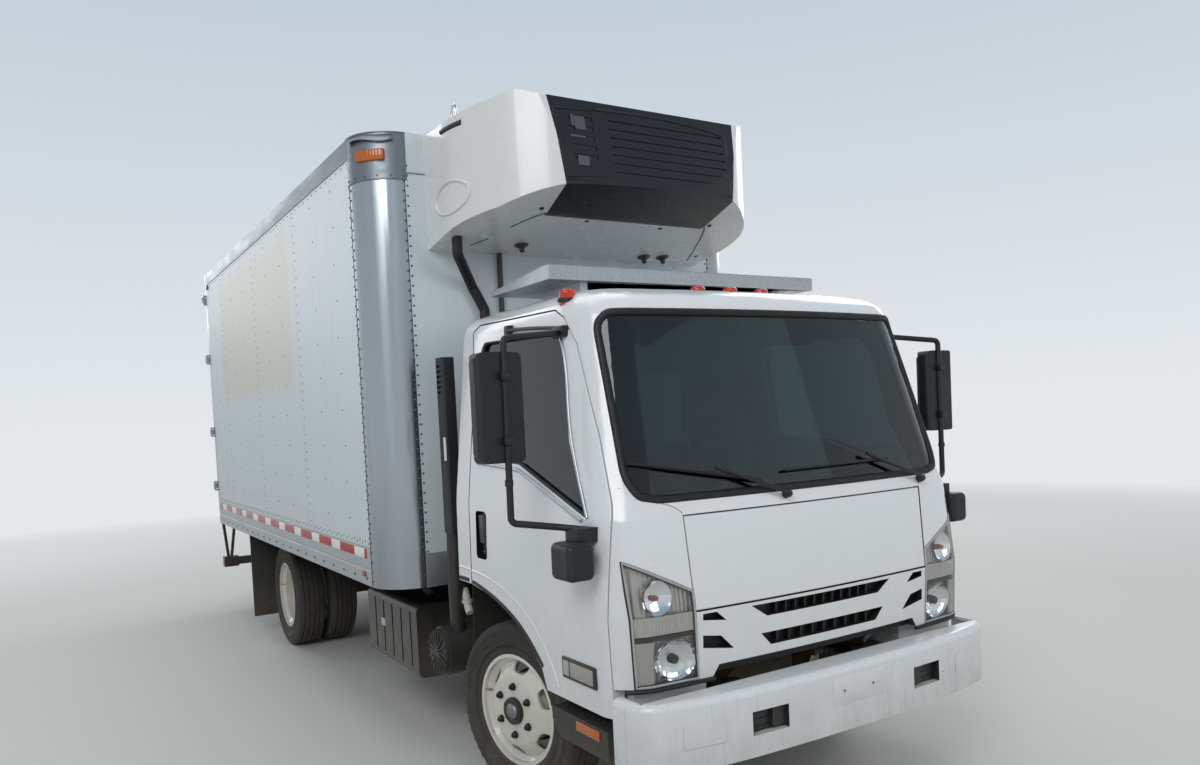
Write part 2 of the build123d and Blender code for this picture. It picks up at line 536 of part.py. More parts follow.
# Bumper: a hollow moulding with a ledge, two open pockets and two blank covers, carried by the frame's arms
BUMPER_LOW, BUMPER_HIGH, BUMPER_SKIN, LEDGE_BACK = 440, 698, 14, -1102
plan = [Line((-990, -975), (990, -975)), Line((990, -975), (986, -1040)),
        ThreePointArc((986, -1040), (958, -1118), (880, -1168)),
        ThreePointArc((880, -1168), (700, -1202), (500, -1222)),
        ThreePointArc((500, -1222), (0, NOSE_Y), (-500, -1222)),
        ThreePointArc((-500, -1222), (-700, -1202), (-880, -1168)),
        ThreePointArc((-880, -1168), (-958, -1118), (-986, -1040)), Line((-986, -1040), (-990, -975))]
bumper_plan = make_face(plan)


def bumper_slab(growth, z0, z1):
    """The bumper's plan, grown or shrunk, as a solid from z0 to z1."""
    return extrude(Pos(0, 0, z0) * offset(bumper_plan, growth), amount=z1 - z0, dir=(0, 0, 1))


outside = extrude(Pos(0, 0, BUMPER_LOW) * bumper_plan, amount=BUMPER_HIGH - BUMPER_LOW, dir=(0, 0, 1))
front_edges = outside.edges().filter_by(lambda edge: edge.center().Y < -1000)
top_edges = front_edges.filter_by(lambda edge: edge.center().Z > BUMPER_HIGH - 1)
outside = fillet(top_edges, 30)
bumper = outside - bumper_slab(-BUMPER_SKIN, BUMPER_LOW - 10, BUMPER_HIGH - BUMPER_SKIN)
bumper -= block(-948, 948, LEDGE_BACK, -900, 400, 720)
for side in (-1, 1):
    bumper += side_block(side, 349, 541, -1300, -1140, 511, 619) & outside
    cover_band = bumper_slab(4, 500, 640) - bumper_slab(-8, 490, 650)
    bumper += side_block(side, 655, 824, -1300, -1150, 527, 610) & cover_band
    bumper -= side_block(side, 358, 532, -1300, -1100, 520, 610)
    bumper += side_block(side, 345, RAIL_X, -1210, -1130, 530, 630) & outside
add("front_bumper", bumper)

STEP = [(-925, 440), (-925, 555), (-500, 555), (-500, 500), (-560, 440)]
for side in (-1, 1):
    x0, x1 = sorted((side * 760, side * 985))
    step = side_prism(STEP, x0, x1)
    for k in range(5):
        step -= side_block(side, 790, 955, -890 + k * 78, -870 + k * 78, 548, 560)
    step += side_block(side, RAIL_X, 770, -860, -800, 560, 600)
    step += side_block(side, 740, 775, -860, -800, 500, 600)
    add("corner_steps", step)


# Insulated body
def body_plan(inset, z0, z1, rear):
    """The body's plan, shrunk by inset, with round front corners, as a solid from z0 to z1."""
    half, front, radius = BODY_HALF - inset, BODY_FRONT + inset, CORNER_RADIUS - inset
    slant = radius * (1 - math.sin(math.radians(45)))
    edges = [Line((-half, rear, z0), (half, rear, z0)),
             Line((half, rear, z0), (half, front + radius, z0)),
             ThreePointArc((half, front + radius, z0), (half - slant, front + slant, z0),
                           (half - radius, front, z0)),
             Line((half - radius, front, z0), (radius - half, front, z0)),
             ThreePointArc((radius - half, front, z0), (slant - half, front + slant, z0),
                           (-half, front + radius, z0)),
             Line((-half, front + radius, z0), (-half, rear, z0))]
    return extrude(make_face(edges), amount=z1 - z0, dir=(0, 0, 1))


FRAME_FRONT = BODY_REAR - 60
RAIL_SEAM = 1084
ROOF_SEAM = 3166
POST_Y = BODY_FRONT + CORNER_RADIUS
POST_X = BODY_HALF - CORNER_RADIUS
add("box_floor", body_plan(WALL, FLOOR_BOTTOM, FLOOR_TOP, FRAME_FRONT))
add("box_roof", body_plan(0, ROOF_SEAM, BODY_TOP, FRAME_FRONT))
add("box_front_wall", block(-POST_X, POST_X, BODY_FRONT, BODY_FRONT + WALL, BODY_BOTTOM, ROOF_SEAM))
ring = body_plan(0, BODY_BOTTOM, ROOF_SEAM, FRAME_FRONT)
ring -= body_plan(WALL, BODY_BOTTOM - 10, ROOF_SEAM + 10, FRAME_FRONT + 10)
for side in (-1, 1):
    wall = side_block(side, BODY_HALF - WALL, BODY_HALF, POST_Y, FRAME_FRONT, RAIL_SEAM, ROOF_SEAM)
    add("box_wall_left" if side > 0 else "box_wall_right", wall)
    rub_rail = side_block(side, BODY_HALF - WALL, BODY_HALF, POST_Y, BODY_REAR, BODY_BOTTOM, RAIL_SEAM)
    rub_rail -= side_block(side, BODY_HALF - 5, BODY_HALF + 5, POST_Y - 5, BODY_REAR + 5, 950, 962)
    add("bottom_rails", rub_rail)
    add("corner_posts", ring & side_block(side, POST_X, 1300, 600, POST_Y, 0, 4000))

HINGE_X = BODY_HALF + 21
HINGE_Y = BODY_REAR + 26
HINGE_PIN = 6
HINGE_HEIGHTS = (1230, 1750, 2450, 3020)
OPENING_HALF, OPENING_LOW, OPENING_HIGH = 1150, 1090, 3150
rear_frame = block(-BODY_HALF, BODY_HALF, FRAME_FRONT, BODY_REAR, RAIL_SEAM, BODY_TOP)
rear_frame -= block(-OPENING_HALF, OPENING_HALF, FRAME_FRONT - 40, BODY_REAR + 10, OPENING_LOW, OPENING_HIGH)
rear_frame += block(-BODY_HALF + WALL, BODY_HALF - WALL, FRAME_FRONT, BODY_REAR, BODY_BOTTOM, RAIL_SEAM)
for side in (-1, 1):
    for z in HINGE_HEIGHTS:
        for end in (-1, 1):
            low, high = sorted((z + end * 31, z + end * 45))
            rear_frame += side_block(side, BODY_HALF - 30, HINGE_X + 8, BODY_REAR - 30, BODY_REAR, low, high)
            rear_frame += side_block(side, BODY_HALF + 8, HINGE_X + 8, BODY_REAR - 30, HINGE_Y + 8, low, high)
        rear_frame += rod((side * HINGE_X, HINGE_Y, z - 40), (side * HINGE_X, HINGE_Y, z + 40), HINGE_PIN)
add("rear_frame", rear_frame)

# Cargo doors with hinge straps and lock rods in their keepers
LOCK_ROD_Y = BODY_REAR + 25
LOCK_RODS = (120, 480)
KEEPERS = (1200, 1700, 2300, 3050)
for side, name in ((1, "left"), (-1, "right")):
    leaf = side_block(side, 4, OPENING_HALF - GAP, BODY_REAR - 55, BODY_REAR + 8, OPENING_LOW + GAP,
                      OPENING_HIGH - GAP)
    leaf += side_block(side, 4, OPENING_HALF + 20, BODY_REAR + 5, BODY_REAR + 11, OPENING_LOW, OPENING_HIGH + GAP)
    for rod_x in LOCK_RODS:
        leaf += rod((side * rod_x, LOCK_ROD_Y, 1100), (side * rod_x, LOCK_ROD_Y, 3150), 13)
        leaf += side_block(side, rod_x, rod_x + 190, LOCK_ROD_Y + 2, LOCK_ROD_Y + 12, 1440, 1464)
        for z in KEEPERS:
            leaf += side_block(side, rod_x - 22, rod_x + 22, BODY_REAR + 6, BODY_REAR + 39, z - 25, z + 25)
    for z in HINGE_HEIGHTS:
        leaf += side_block(side, 1000, HINGE_X - 4, BODY_REAR + 10, BODY_REAR + 18, z - 25, z + 25)
        leaf += rod((side * HINGE_X, HINGE_Y, z - 25), (side * HINGE_X, HINGE_Y, z + 25), 13)
        leaf -= rod((side * HINGE_X, HINGE_Y, z - 30), (side * HINGE_X, HINGE_Y, z + 30), HINGE_PIN + RUNNING_FIT)
    add("cargo_door_" + name, leaf)

# Underframe: two long sills on the rails with I-section crossbeams under the floor
BEAM_COUNT, BEAM_FIRST, BEAM_PITCH = 14, 1125, 335
SILL_TOP = 880
floor_beams = None
for side in (-1, 1):
    sill = side_block(side, RAIL_X - RAIL_FLANGE, RAIL_X, 900, RAIL_END, RAIL_TOP, SILL_TOP)
    floor_beams = sill if floor_beams is None else floor_beams + sill
for k in range(BEAM_COUNT):
    y = BEAM_FIRST + k * BEAM_PITCH
    low, high = SILL_TOP, FLOOR_BOTTOM
    beam = [(y - 28, low), (y + 28, low), (y + 28, low + 7), (y + 3, low + 7), (y + 3, high - 7),
            (y + 28, high - 7), (y + 28, high), (y - 28, high), (y - 28, high - 7), (y - 3, high - 7),
            (y - 3, low + 7), (y - 28, low + 7)]
    floor_beams += side_prism(beam, -1130, 1130)
add("floor_beams", floor_beams)

# Mudflaps on their bars, and the rear bumper with its braced uprights and step plates
for side in (-1, 1):
    flap = side_block(side, 640, 1205, 4356, 4366, 160, BODY_BOTTOM - 2)
    flap += side_block(side, RAIL_X, 1205, 4340, 4374, 834, BODY_BOTTOM - 2)
    add("mudflaps", flap)
BUMPER_Y0, BUMPER_Y1 = 5612, 5672
rear_bumper = block(-1100, 1100, BUMPER_Y0, BUMPER_Y1, 452, 524)
for side in (-1, 1):
    rear_bumper += side_block(side, 340, 380, RAIL_END, BUMPER_Y1, 480, 560)
    rear_bumper += side_block(side, 340, 380, RAIL_END, BUMPER_Y0 + 10, 480, 780)
    rear_bumper += side_block(side, 1084, 1216, BUMPER_Y0 - 12, BODY_REAR, 440, 536)
    for x_top, x_foot in ((1092, 1140), (1196, 1168)):
        strut = [(side * (x_top - 12), BODY_BOTTOM), (side * (x_top + 12), BODY_BOTTOM),
                 (side * (x_foot + 12), 530), (side * (x_foot - 12), 530)]
        rear_bumper += front_prism(strut, BODY_REAR - 40, BODY_REAR - 8)
add("rear_bumper", rear_bumper)


# Cooling unit: its moulded form is where a side profile, a plan and a crowned front meet
UNIT_SIDE = [(BODY_FRONT, 2650), (190, 2752), (-62, 2849), (28, 3262), (110, 3296), (420, 3330),
             (BODY_FRONT, 3310)]
UNIT_NOSE_Y = -62
plan_edges = [Line((-885, BODY_FRONT), (885, BODY_FRONT)), Line((885, BODY_FRONT), (885, 560)),
              ThreePointArc((885, 560), (780, 205), (520, -25)),
              ThreePointArc((520, -25), (0, UNIT_NOSE_Y), (-520, -25)),
              ThreePointArc((-520, -25), (-780, 205), (-885, 560)), Line((-885, 560), (-885, BODY_FRONT))]
front_edges = [Line((-900, -100, 2600), (900, -100, 2600)), Line((900, -100, 2600), (900, -100, 3232)),
               Line((900, -100, 3232), (700, -100, 3292)),
               ThreePointArc((700, -100, 3292), (0, -100, 3330), (-700, -100, 3292)),
               Line((-700, -100, 3292), (-900, -100, 3232)), Line((-900, -100, 3232), (-900, -100, 2600))]
unit = side_prism(UNIT_SIDE, -900, 900)
unit &= extrude(Pos(0, 0, 2600) * make_face(plan_edges), amount=800, dir=(0, 0, 1))
unit &= extrude(make_face(front_edges), amount=950, dir=(0, 1, 0))
PANEL = [(-588, 3400), (588, 3400), (514, 2849), (489, 2700), (-489, 2700), (-514, 2849)]
PANEL_DEPTH = 14
panel_zone = front_prism(PANEL, -100, 240)
unit_panel = (unit - Pos(0, PANEL_DEPTH, 6) * unit) & panel_zone
add("refrigeration_unit", unit - unit_panel)
nose_slope = (28 - UNIT_NOSE_Y) / (3262 - 2849)
# Each louvre field: x from, x to, lowest z, count, pitch, slot height
LOUVRES = ((-240, 470, 2905, 7, 44, 9), (-470, -330, 2960, 5, 48, 22))
for x0, x1, z0, count, pitch, height in LOUVRES:
    for k in range(count):
        z = z0 + k * pitch
        face_y = UNIT_NOSE_Y + (z - 2849) * nose_slope
        unit_panel -= block(x0, x1, face_y - 60, face_y + 9, z, z + height)
add("unit_panel", unit_panel)
add("evaporator", fillet(block(-560, 560, BODY_FRONT + WALL, 1200, 2720, 3120).edges().filter_by(Axis.X), 30))

# Drain hose and refrigerant line down the nose, in clips
HOSE_Y = BODY_FRONT - 32
hose = pipe([(-810, 600, 2690), (-806, 612, 2600), (-660, HOSE_Y, 2465), (-592, HOSE_Y, 2340),
             (-592, HOSE_Y, 1000)], 27, 50)
for z in (2250, 1800, 1350):
    hose += block(-630, -554, HOSE_Y - 10, BODY_FRONT, z, z + 22)
add("drain_hose", hose - unit, block(-488, -468, 750, BODY_FRONT, 1000, 2700) - unit)

# Service platform over the cab roof, a bright tray on two legs
tray = block(-790, 790, -306, 280, 2335, 2341)
tray += block(-790, 790, -306, -300, 2335, 2396)
for side in (-1, 1):
    x0, x1 = sorted((side * 784, side * 790))
    tray += side_prism([(-306, 2335), (-306, 2396), (-240, 2396), (280, 2352), (280, 2335)], x0, x1)
    tray += side_block(side, 560, 600, -250, 120, 2200, 2338) - outer_form
add("service_platform", tray)

os.makedirs("parts", exist_ok=True)
shift = Pos(0, SHIFT_Y, 0)
for name, pieces in nodes.items():
    solids = [shift * solid for piece in pieces for solid in piece.solids()]
    export_step(solids[0] if len(solids) == 1 else Compound(solids), f"parts/{name}.step")
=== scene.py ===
import json
import math
import bpy
from mathutils import Matrix, Vector

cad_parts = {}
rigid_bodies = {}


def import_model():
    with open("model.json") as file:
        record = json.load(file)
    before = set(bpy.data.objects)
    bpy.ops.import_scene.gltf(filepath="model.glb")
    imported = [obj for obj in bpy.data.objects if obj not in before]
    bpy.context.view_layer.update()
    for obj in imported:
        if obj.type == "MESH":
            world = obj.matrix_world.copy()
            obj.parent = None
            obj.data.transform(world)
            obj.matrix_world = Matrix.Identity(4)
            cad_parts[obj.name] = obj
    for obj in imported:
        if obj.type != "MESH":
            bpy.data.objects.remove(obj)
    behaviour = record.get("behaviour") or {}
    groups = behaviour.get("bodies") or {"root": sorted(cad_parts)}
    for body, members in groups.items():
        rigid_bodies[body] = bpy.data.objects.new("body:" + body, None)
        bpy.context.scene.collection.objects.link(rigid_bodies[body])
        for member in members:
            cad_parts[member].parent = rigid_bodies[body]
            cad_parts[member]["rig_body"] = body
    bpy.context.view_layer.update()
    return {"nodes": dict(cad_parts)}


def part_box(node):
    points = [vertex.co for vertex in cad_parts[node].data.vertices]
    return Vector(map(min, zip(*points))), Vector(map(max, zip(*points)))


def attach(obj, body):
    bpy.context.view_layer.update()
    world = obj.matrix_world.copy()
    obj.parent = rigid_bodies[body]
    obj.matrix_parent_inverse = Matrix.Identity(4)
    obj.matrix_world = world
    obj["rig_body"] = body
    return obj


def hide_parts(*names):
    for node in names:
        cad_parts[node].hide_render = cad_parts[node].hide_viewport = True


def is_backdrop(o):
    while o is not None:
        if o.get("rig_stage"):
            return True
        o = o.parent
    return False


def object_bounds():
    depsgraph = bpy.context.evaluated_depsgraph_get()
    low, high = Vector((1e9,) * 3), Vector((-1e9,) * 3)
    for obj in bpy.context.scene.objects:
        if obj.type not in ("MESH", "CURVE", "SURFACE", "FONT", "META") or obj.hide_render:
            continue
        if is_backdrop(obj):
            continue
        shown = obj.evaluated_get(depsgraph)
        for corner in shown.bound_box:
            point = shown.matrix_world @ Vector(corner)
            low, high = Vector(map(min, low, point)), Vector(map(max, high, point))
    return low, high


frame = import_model()
bpy.ops.object.select_all(action="DESELECT")


# Camera
# A phone's wide lens, held at head height off the truck's right front corner.
# Places are as on a workshop drawing: x to the truck's left, y behind the front axle, z above the ground.
axle_low, axle_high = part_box("front_axle")
AXLE_Y = (axle_low.y + axle_high.y) / 2


def place(x, y, z):
    """A point of the truck, in metres, with y measured behind the front axle."""
    return Vector((x, AXLE_Y + y, z))


PHOTO_WIDTH = 1200
FOCAL_PIXELS = 905.9
PRINCIPAL_Y, MIDDLE_Y = 452.8, 382.5
YAW, PITCH, ROLL = math.radians(32.04), math.radians(-2.37), math.radians(-2.74)
forward = Vector((math.sin(YAW) * math.cos(PITCH), math.cos(YAW) * math.cos(PITCH), math.sin(PITCH)))
level = Vector((math.cos(YAW), -math.sin(YAW), 0))
upright = level.cross(forward)
right = math.cos(ROLL) * level + math.sin(ROLL) * upright
up = math.cos(ROLL) * upright - math.sin(ROLL) * level
bpy.ops.object.camera_add()
camera = bpy.context.object
camera.matrix_world = Matrix.Translation(place(-2.727, -3.750, 1.735)) @ Matrix(
    (right, up, -forward)).transposed().to_4x4()
camera.data.lens = 36 * FOCAL_PIXELS / PHOTO_WIDTH
camera.data.shift_y = (PRINCIPAL_Y - MIDDLE_Y) / PHOTO_WIDTH
camera.data.clip_end = 200
bpy.context.scene.camera = camera
bpy.context.scene.view_settings.view_transform = "Standard"


# Studio
# A pale painted floor under a pale sweep, with large soft lamps above and at the sides.
# The sweep shows pale to the eye and in reflections, and lights the truck less than it shows.
def linear(code):
    """An sRGB hex colour as Blender's linear one."""
    parts = [int(code[k:k + 2], 16) / 255 for k in (1, 3, 5)]
    return [p / 12.92 if p <= 0.04045 else ((p + 0.055) / 1.055) ** 2.4 for p in parts] + [1.0]


def wire(tree, node, sockets):
    """Set or link a node's sockets, by name or number."""
    for key, value in sockets.items():
        if isinstance(value, bpy.types.NodeSocket):
            tree.links.new(value, node.inputs[key])
        else:
            node.inputs[key].default_value = value


def add_node(tree, kind, sockets=None, **settings):
    """Add a shader node with its settings, and set or link its sockets."""
    node = tree.nodes.new("ShaderNode" + kind)
    for name, value in settings.items():
        setattr(node, name, value)
    wire(tree, node, sockets or {})
    return node


SWEEP_COLOUR = "#E4E8EB"
bpy.ops.mesh.primitive_circle_add(vertices=96, radius=55, fill_type="NGON", location=(0, 0, 0))
floor = bpy.context.object
floor.name = "studio_floor"
floor_finish = bpy.data.materials.new("pale floor paint")
floor_finish.use_nodes = True
tree = floor_finish.node_tree
shader = tree.nodes["Principled BSDF"]
wire(tree, shader, {"Base Color": linear("#CFCFCB"), "Roughness": 0.75, "Specular IOR Level": 0.2})
spot = add_node(tree, "TexCoord").outputs["Object"]
reach = add_node(tree, "VectorMath", {0: spot}, operation="LENGTH").outputs["Value"]
fade = add_node(tree, "MapRange", {"Value": reach, "From Min": 6.0, "From Max": 15.0}).outputs["Result"]
sweep = add_node(tree, "Emission", {"Color": linear(SWEEP_COLOUR), "Strength": 1.0}).outputs[0]
path = add_node(tree, "LightPath")
seen = add_node(tree, "Math", {0: path.outputs["Is Camera Ray"], 1: path.outputs["Is Glossy Ray"]},
                operation="ADD", use_clamp=True).outputs[0]
share = add_node(tree, "Math", {0: fade, 1: seen}, operation="MULTIPLY").outputs[0]
blend = add_node(tree, "MixShader", {0: share, 1: shader.outputs[0], 2: sweep})
tree.links.new(blend.outputs[0], tree.nodes["Material Output"].inputs["Surface"])
floor.data.materials.append(floor_finish)
floor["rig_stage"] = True

world = bpy.data.worlds.new("studio sweep")
bpy.context.scene.world = world
world.use_nodes = True
tree = world.node_tree
tree.nodes.clear()
path = add_node(tree, "LightPath")
shown = add_node(tree, "Math", {0: path.outputs["Is Camera Ray"], 1: path.outputs["Is Glossy Ray"]},
                 operation="ADD", use_clamp=True).outputs[0]
shown = add_node(tree, "Math", {0: shown, 1: path.outputs["Is Transmission Ray"]},
                 operation="ADD", use_clamp=True).outputs[0]
height = add_node(tree, "SeparateXYZ", {0: add_node(tree, "TexCoord").outputs["Generated"]}).outputs["Z"]
tone = add_node(tree, "ValToRGB", {0: height})
tone.color_ramp.elements[0].position, tone.color_ramp.elements[0].color = 0.0, linear(SWEEP_COLOUR)
tone.color_ramp.elements[1].position, tone.color_ramp.elements[1].color = 0.75, linear("#9FB4C8")
sight = add_node(tree, "Background", {"Color": tone.outputs["Color"], "Strength": 1.0}).outputs[0]
light = add_node(tree, "Background", {"Color": linear("#E6EEF6"), "Strength": 0.42}).outputs[0]
blend = add_node(tree, "MixShader", {0: shown, 1: light, 2: sight}).outputs[0]
add_node(tree, "OutputWorld", {"Surface": blend})

# Each lamp: name, place, size, power in watts
LAMPS = (("key_lamp", (-7.5, -8.0, 7.5), 5.0, 420), ("front_lamp", (5.5, -10.5, 5.0), 5.0, 220),
         ("top_lamp", (0.0, 1.0, 9.0), 7.0, 250), ("tail_lamp", (-4.0, 11.0, 6.0), 5.0, 250),
         ("left_lamp", (9.0, 3.0, 6.5), 5.0, 250))
for name, spot, size, power in LAMPS:
    bpy.ops.object.light_add(type="AREA", location=spot)
    lamp = bpy.context.object
    lamp.name = name
    lamp.data.size, lamp.data.energy = size, power
    lamp.rotation_euler = (Vector((0, 0, 1.3)) - Vector(spot)).to_track_quat("-Z", "Y").to_euler()
    # The lamp in front would show as a bright panel in the windshield
    lamp.visible_glossy = name != "front_lamp"


# Cab shell
# Pressed steel panels in gloss white stoving enamel, spot welded, with rolled edges.
# The frame's panels are merged, their edges rounded by a few millimetres, and shown for the plain ones.
def only(piece):
    """Select one piece alone and make it active."""
    bpy.ops.object.select_all(action="DESELECT")
    piece.select_set(True)
    bpy.context.view_layer.objects.active = piece


def edit(piece=None, action="SELECT"):
    """Go into edit mode, on this piece alone if one is given, with all of it or nothing selected."""
    if piece:
        only(piece)
    bpy.ops.object.mode_set(mode="EDIT")
    bpy.ops.mesh.select_all(action=action)


def leave_edit():
    """Go back to object mode."""
    bpy.ops.object.mode_set(mode="OBJECT")


def shade(piece, degrees=40):
    """Shade a piece smooth, but for the edges that turn by more than an angle."""
    only(piece)
    bpy.ops.object.shade_smooth_by_angle(angle=math.radians(degrees))
    return piece


def modify(piece, kind, **settings):
    """Add a modifier with its settings to a piece, and apply it."""
    modifier = piece.modifiers.new(kind.lower(), kind)
    for name, value in settings.items():
        setattr(modifier, name, value)
    only(piece)
    bpy.ops.object.modifier_apply(modifier=modifier.name)
    return piece


def round_edges(piece, width, segments=2, angle=28):
    """Round a piece's sharp edges, and keep its flat faces flat to the eye."""
    modify(piece, "BEVEL", width=width, segments=segments, limit_method="ANGLE",
           angle_limit=math.radians(angle), miter_outer="MITER_ARC")
    return modify(shade(piece), "WEIGHTED_NORMAL", keep_sharp=True)


def merged_copy(node, name):
    """A copy of a piece of the frame, with its loose triangles merged into whole faces."""
    copy = bpy.data.objects.new(name, frame["nodes"][node].data.copy())
    bpy.context.scene.collection.objects.link(copy)
    edit(copy)
    bpy.ops.mesh.remove_doubles(threshold=0.00004)
    bpy.ops.mesh.dissolve_limited(angle_limit=math.radians(0.4))
    leave_edit()
    return copy


def dress(piece, body, material, slot=None):
    """Give a piece its finish and the body that it rides on."""
    piece.data.materials.clear()
    piece.data.materials.append(material)
    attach(piece, body)
    return piece


def rounded(node, material, width, slot, segments=2, angle=28):
    """Show a piece of the frame with rounded edges in place of the plain one."""
    piece = merged_copy(node, node + "_formed")
    round_edges(piece, width, segments, angle)
    dress(piece, frame["nodes"][node]["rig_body"], material, slot)
    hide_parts(node)
    return piece


def new_finish(name):
    """A node material, and its tree, shader and Object coordinates."""
    material = bpy.data.materials.new(name)
    material.use_nodes = True
    tree = material.node_tree
    return material, tree, tree.nodes["Principled BSDF"], add_node(tree, "TexCoord").outputs["Object"]


def stained(tree, spot, clean, dirt, low, high, scale, grip=0.5):
    """A colour that turns to dirt in ragged patches, more of it the lower the place is."""
    z = add_node(tree, "SeparateXYZ", {0: spot}).outputs["Z"]
    fall = add_node(tree, "MapRange", {"Value": z, "From Min": high, "From Max": low}).outputs["Result"]
    patch = add_node(tree, "TexNoise", {"Vector": spot, "Scale": scale, "Detail": 6.0, "Roughness": 0.65})
    depth = add_node(tree, "Math", {0: fall, 1: patch.outputs["Fac"]}, operation="MULTIPLY").outputs[0]
    depth = add_node(tree, "Math", {0: depth, 1: grip}, operation="MULTIPLY", use_clamp=True).outputs[0]
    return add_node(tree, "Mix", {0: depth, 6: linear(clean), 7: linear(dirt)}, data_type="RGBA").outputs[2]


def enamel(name, colour, dirt, roughness=0.22, coat=0.6, low=0.3, high=1.3, grip=0.55):
    """Sprayed enamel: glossy, with a faint orange-peel ripple and road dust low down."""
    material, tree, shader, spot = new_finish(name)
    dull = add_node(tree, "TexNoise", {"Vector": spot, "Scale": 14.0, "Detail": 4.0}).outputs["Fac"]
    gloss = add_node(tree, "MapRange", {"Value": dull, "To Min": roughness - 0.06,
                                        "To Max": roughness + 0.10})
    # The ripple of sprayed enamel is about 2 mm across
    ripple = add_node(tree, "TexNoise", {"Vector": spot, "Scale": 420.0, "Detail": 1.0}).outputs["Fac"]
    bump = add_node(tree, "Bump", {"Height": ripple, "Strength": 0.05, "Distance": 0.0004})
    wire(tree, shader, {"Base Color": stained(tree, spot, colour, dirt, low, high, 9.0, grip),
                        "Roughness": gloss.outputs["Result"], "Normal": bump.outputs[0],
                        "Coat Weight": coat, "Coat Roughness": 0.08})
    return material


# Gloss enamel: crisp highlights over a clean cool white
cab_paint = enamel("white stoving enamel", "#DFE2E4", "#9C968B")
shell = rounded("cab_shell", cab_paint, 0.004, "white_paint")
SIDES = ((-1, "right"), (1, "left"))
for side, hand in SIDES[::-1]:
    rounded("door_" + hand, cab_paint, 0.003, "white_paint")
rounded("front_lid", cab_paint, 0.004, "white_paint", segments=3)


# Cab glass
# Green-tinted laminated safety glass, bedded in black rubber that laps the panels round each opening.
# The rubber is drawn along the outer edge of each pane, so that it follows the pane's curve.
def finish(node, material):
    """Give a piece of the frame its finish."""
    piece = frame["nodes"][node]
    if not piece.material_slots:
        piece.data.materials.append(material)
    for slot in piece.material_slots:
        slot.material = material


def keep_faces(piece, wanted):
    """Keep the faces of a piece that a test wants, and delete the others."""
    edit(piece, "DESELECT")
    bpy.ops.mesh.select_mode(type="FACE")
    leave_edit()
    for face in piece.data.polygons:
        face.select = not wanted(face)
    bpy.ops.object.mode_set(mode="EDIT")
    bpy.ops.mesh.delete(type="FACE")
    leave_edit()


def edge_bead(node, name, wanted, radius, body, material, slot=None, shift=(0, 0, 0), soften=0.0):
    """A round bead along the edge of those faces of a frame piece that a test wants, its corners softened."""
    piece = merged_copy(node, name)
    keep_faces(piece, wanted)
    edit(piece)
    bpy.ops.mesh.region_to_loop()
    bpy.ops.mesh.select_all(action="INVERT")
    bpy.ops.mesh.delete(type="EDGE_FACE")
    bpy.ops.mesh.select_all(action="SELECT")
    bpy.ops.mesh.delete(type="ONLY_FACE")
    bpy.ops.mesh.select_all(action="SELECT")
    bpy.ops.transform.translate(value=shift)
    bpy.ops.mesh.delete_loose(use_verts=True, use_edges=False, use_faces=False)
    bpy.ops.mesh.select_mode(type="VERT")
    bpy.ops.mesh.select_all(action="DESELECT")
    leave_edit()
    if soften:
        runs = {}
        for edge in piece.data.edges:
            for a, b in (edge.vertices, reversed(edge.vertices)):
                runs.setdefault(a, []).append(b)
        spots = [v.co for v in piece.data.vertices]
        for vertex in piece.data.vertices:
            before, after = (spots[k] - vertex.co for k in runs[vertex.index])
            vertex.select = before.angle(-after) > math.radians(9)
        bpy.ops.object.mode_set(mode="EDIT")
        bpy.ops.mesh.bevel(offset=soften, segments=4, affect="VERTICES")
        leave_edit()
    bpy.ops.object.convert(target="CURVE")
    bead = bpy.context.object
    bead.data.bevel_depth, bead.data.bevel_resolution = radius, 2
    bpy.ops.object.convert(target="MESH")
    bead = bpy.context.object
    only(bead)
    bpy.ops.object.shade_smooth_by_angle(angle=math.radians(60))
    return dress(bead, body, material, slot)


def safety_glass(name, tint, film=0.05, ior=1.5, coat=0.0):
    """Tinted glass with a thin film of road dust that dulls it in soft patches."""
    material, tree, shader, spot = new_finish(name)
    cloud = add_node(tree, "TexNoise", {"Vector": spot, "Scale": 3.0, "Detail": 5.0}).outputs["Fac"]
    dull = add_node(tree, "MapRange", {"Value": cloud, "From Min": 0.4, "To Min": 0.01, "To Max": film})
    wire(tree, shader, {"Base Color": stained(tree, spot, tint, "#8D8B80", 1.2, 2.4, 5.0, 0.2),
                        "Roughness": dull.outputs["Result"], "Transmission Weight": 1.0, "IOR": ior,
                        "Specular IOR Level": 0.25, "Coat Weight": coat})
    return material


def moulded(name, colour, roughness=0.5, grain_mm=1.2, dust="#857F74", grip=0.4, low=0.3, high=1.5,
            depth=0.25):
    """Moulded plastic or rubber: a fine pressed grain, scuffed patches, and dust in it low down."""
    material, tree, shader, spot = new_finish(name)
    scuff = add_node(tree, "TexNoise", {"Vector": spot, "Scale": 18.0, "Detail": 5.0}).outputs["Fac"]
    dull = add_node(tree, "MapRange", {"Value": scuff, "To Min": roughness - 0.12,
                                       "To Max": roughness + 0.15})
    grain = add_node(tree, "TexVoronoi", {"Vector": spot, "Scale": 1000.0 / grain_mm}).outputs["Distance"]
    bump = add_node(tree, "Bump", {"Height": grain, "Strength": depth, "Distance": 0.0003})
    wire(tree, shader, {"Base Color": stained(tree, spot, colour, dust, low, high, 11.0, grip),
                        "Roughness": dull.outputs["Result"], "Normal": bump.outputs[0]})
    return material


# Laminated glass: dark green in depth, sharp sky reflections, faintly dusty
cab_glass = safety_glass("tinted laminated glass", "#4A6468")
for node in ("cab_glass", "door_glass_left", "door_glass_right"):
    finish(node, cab_glass)
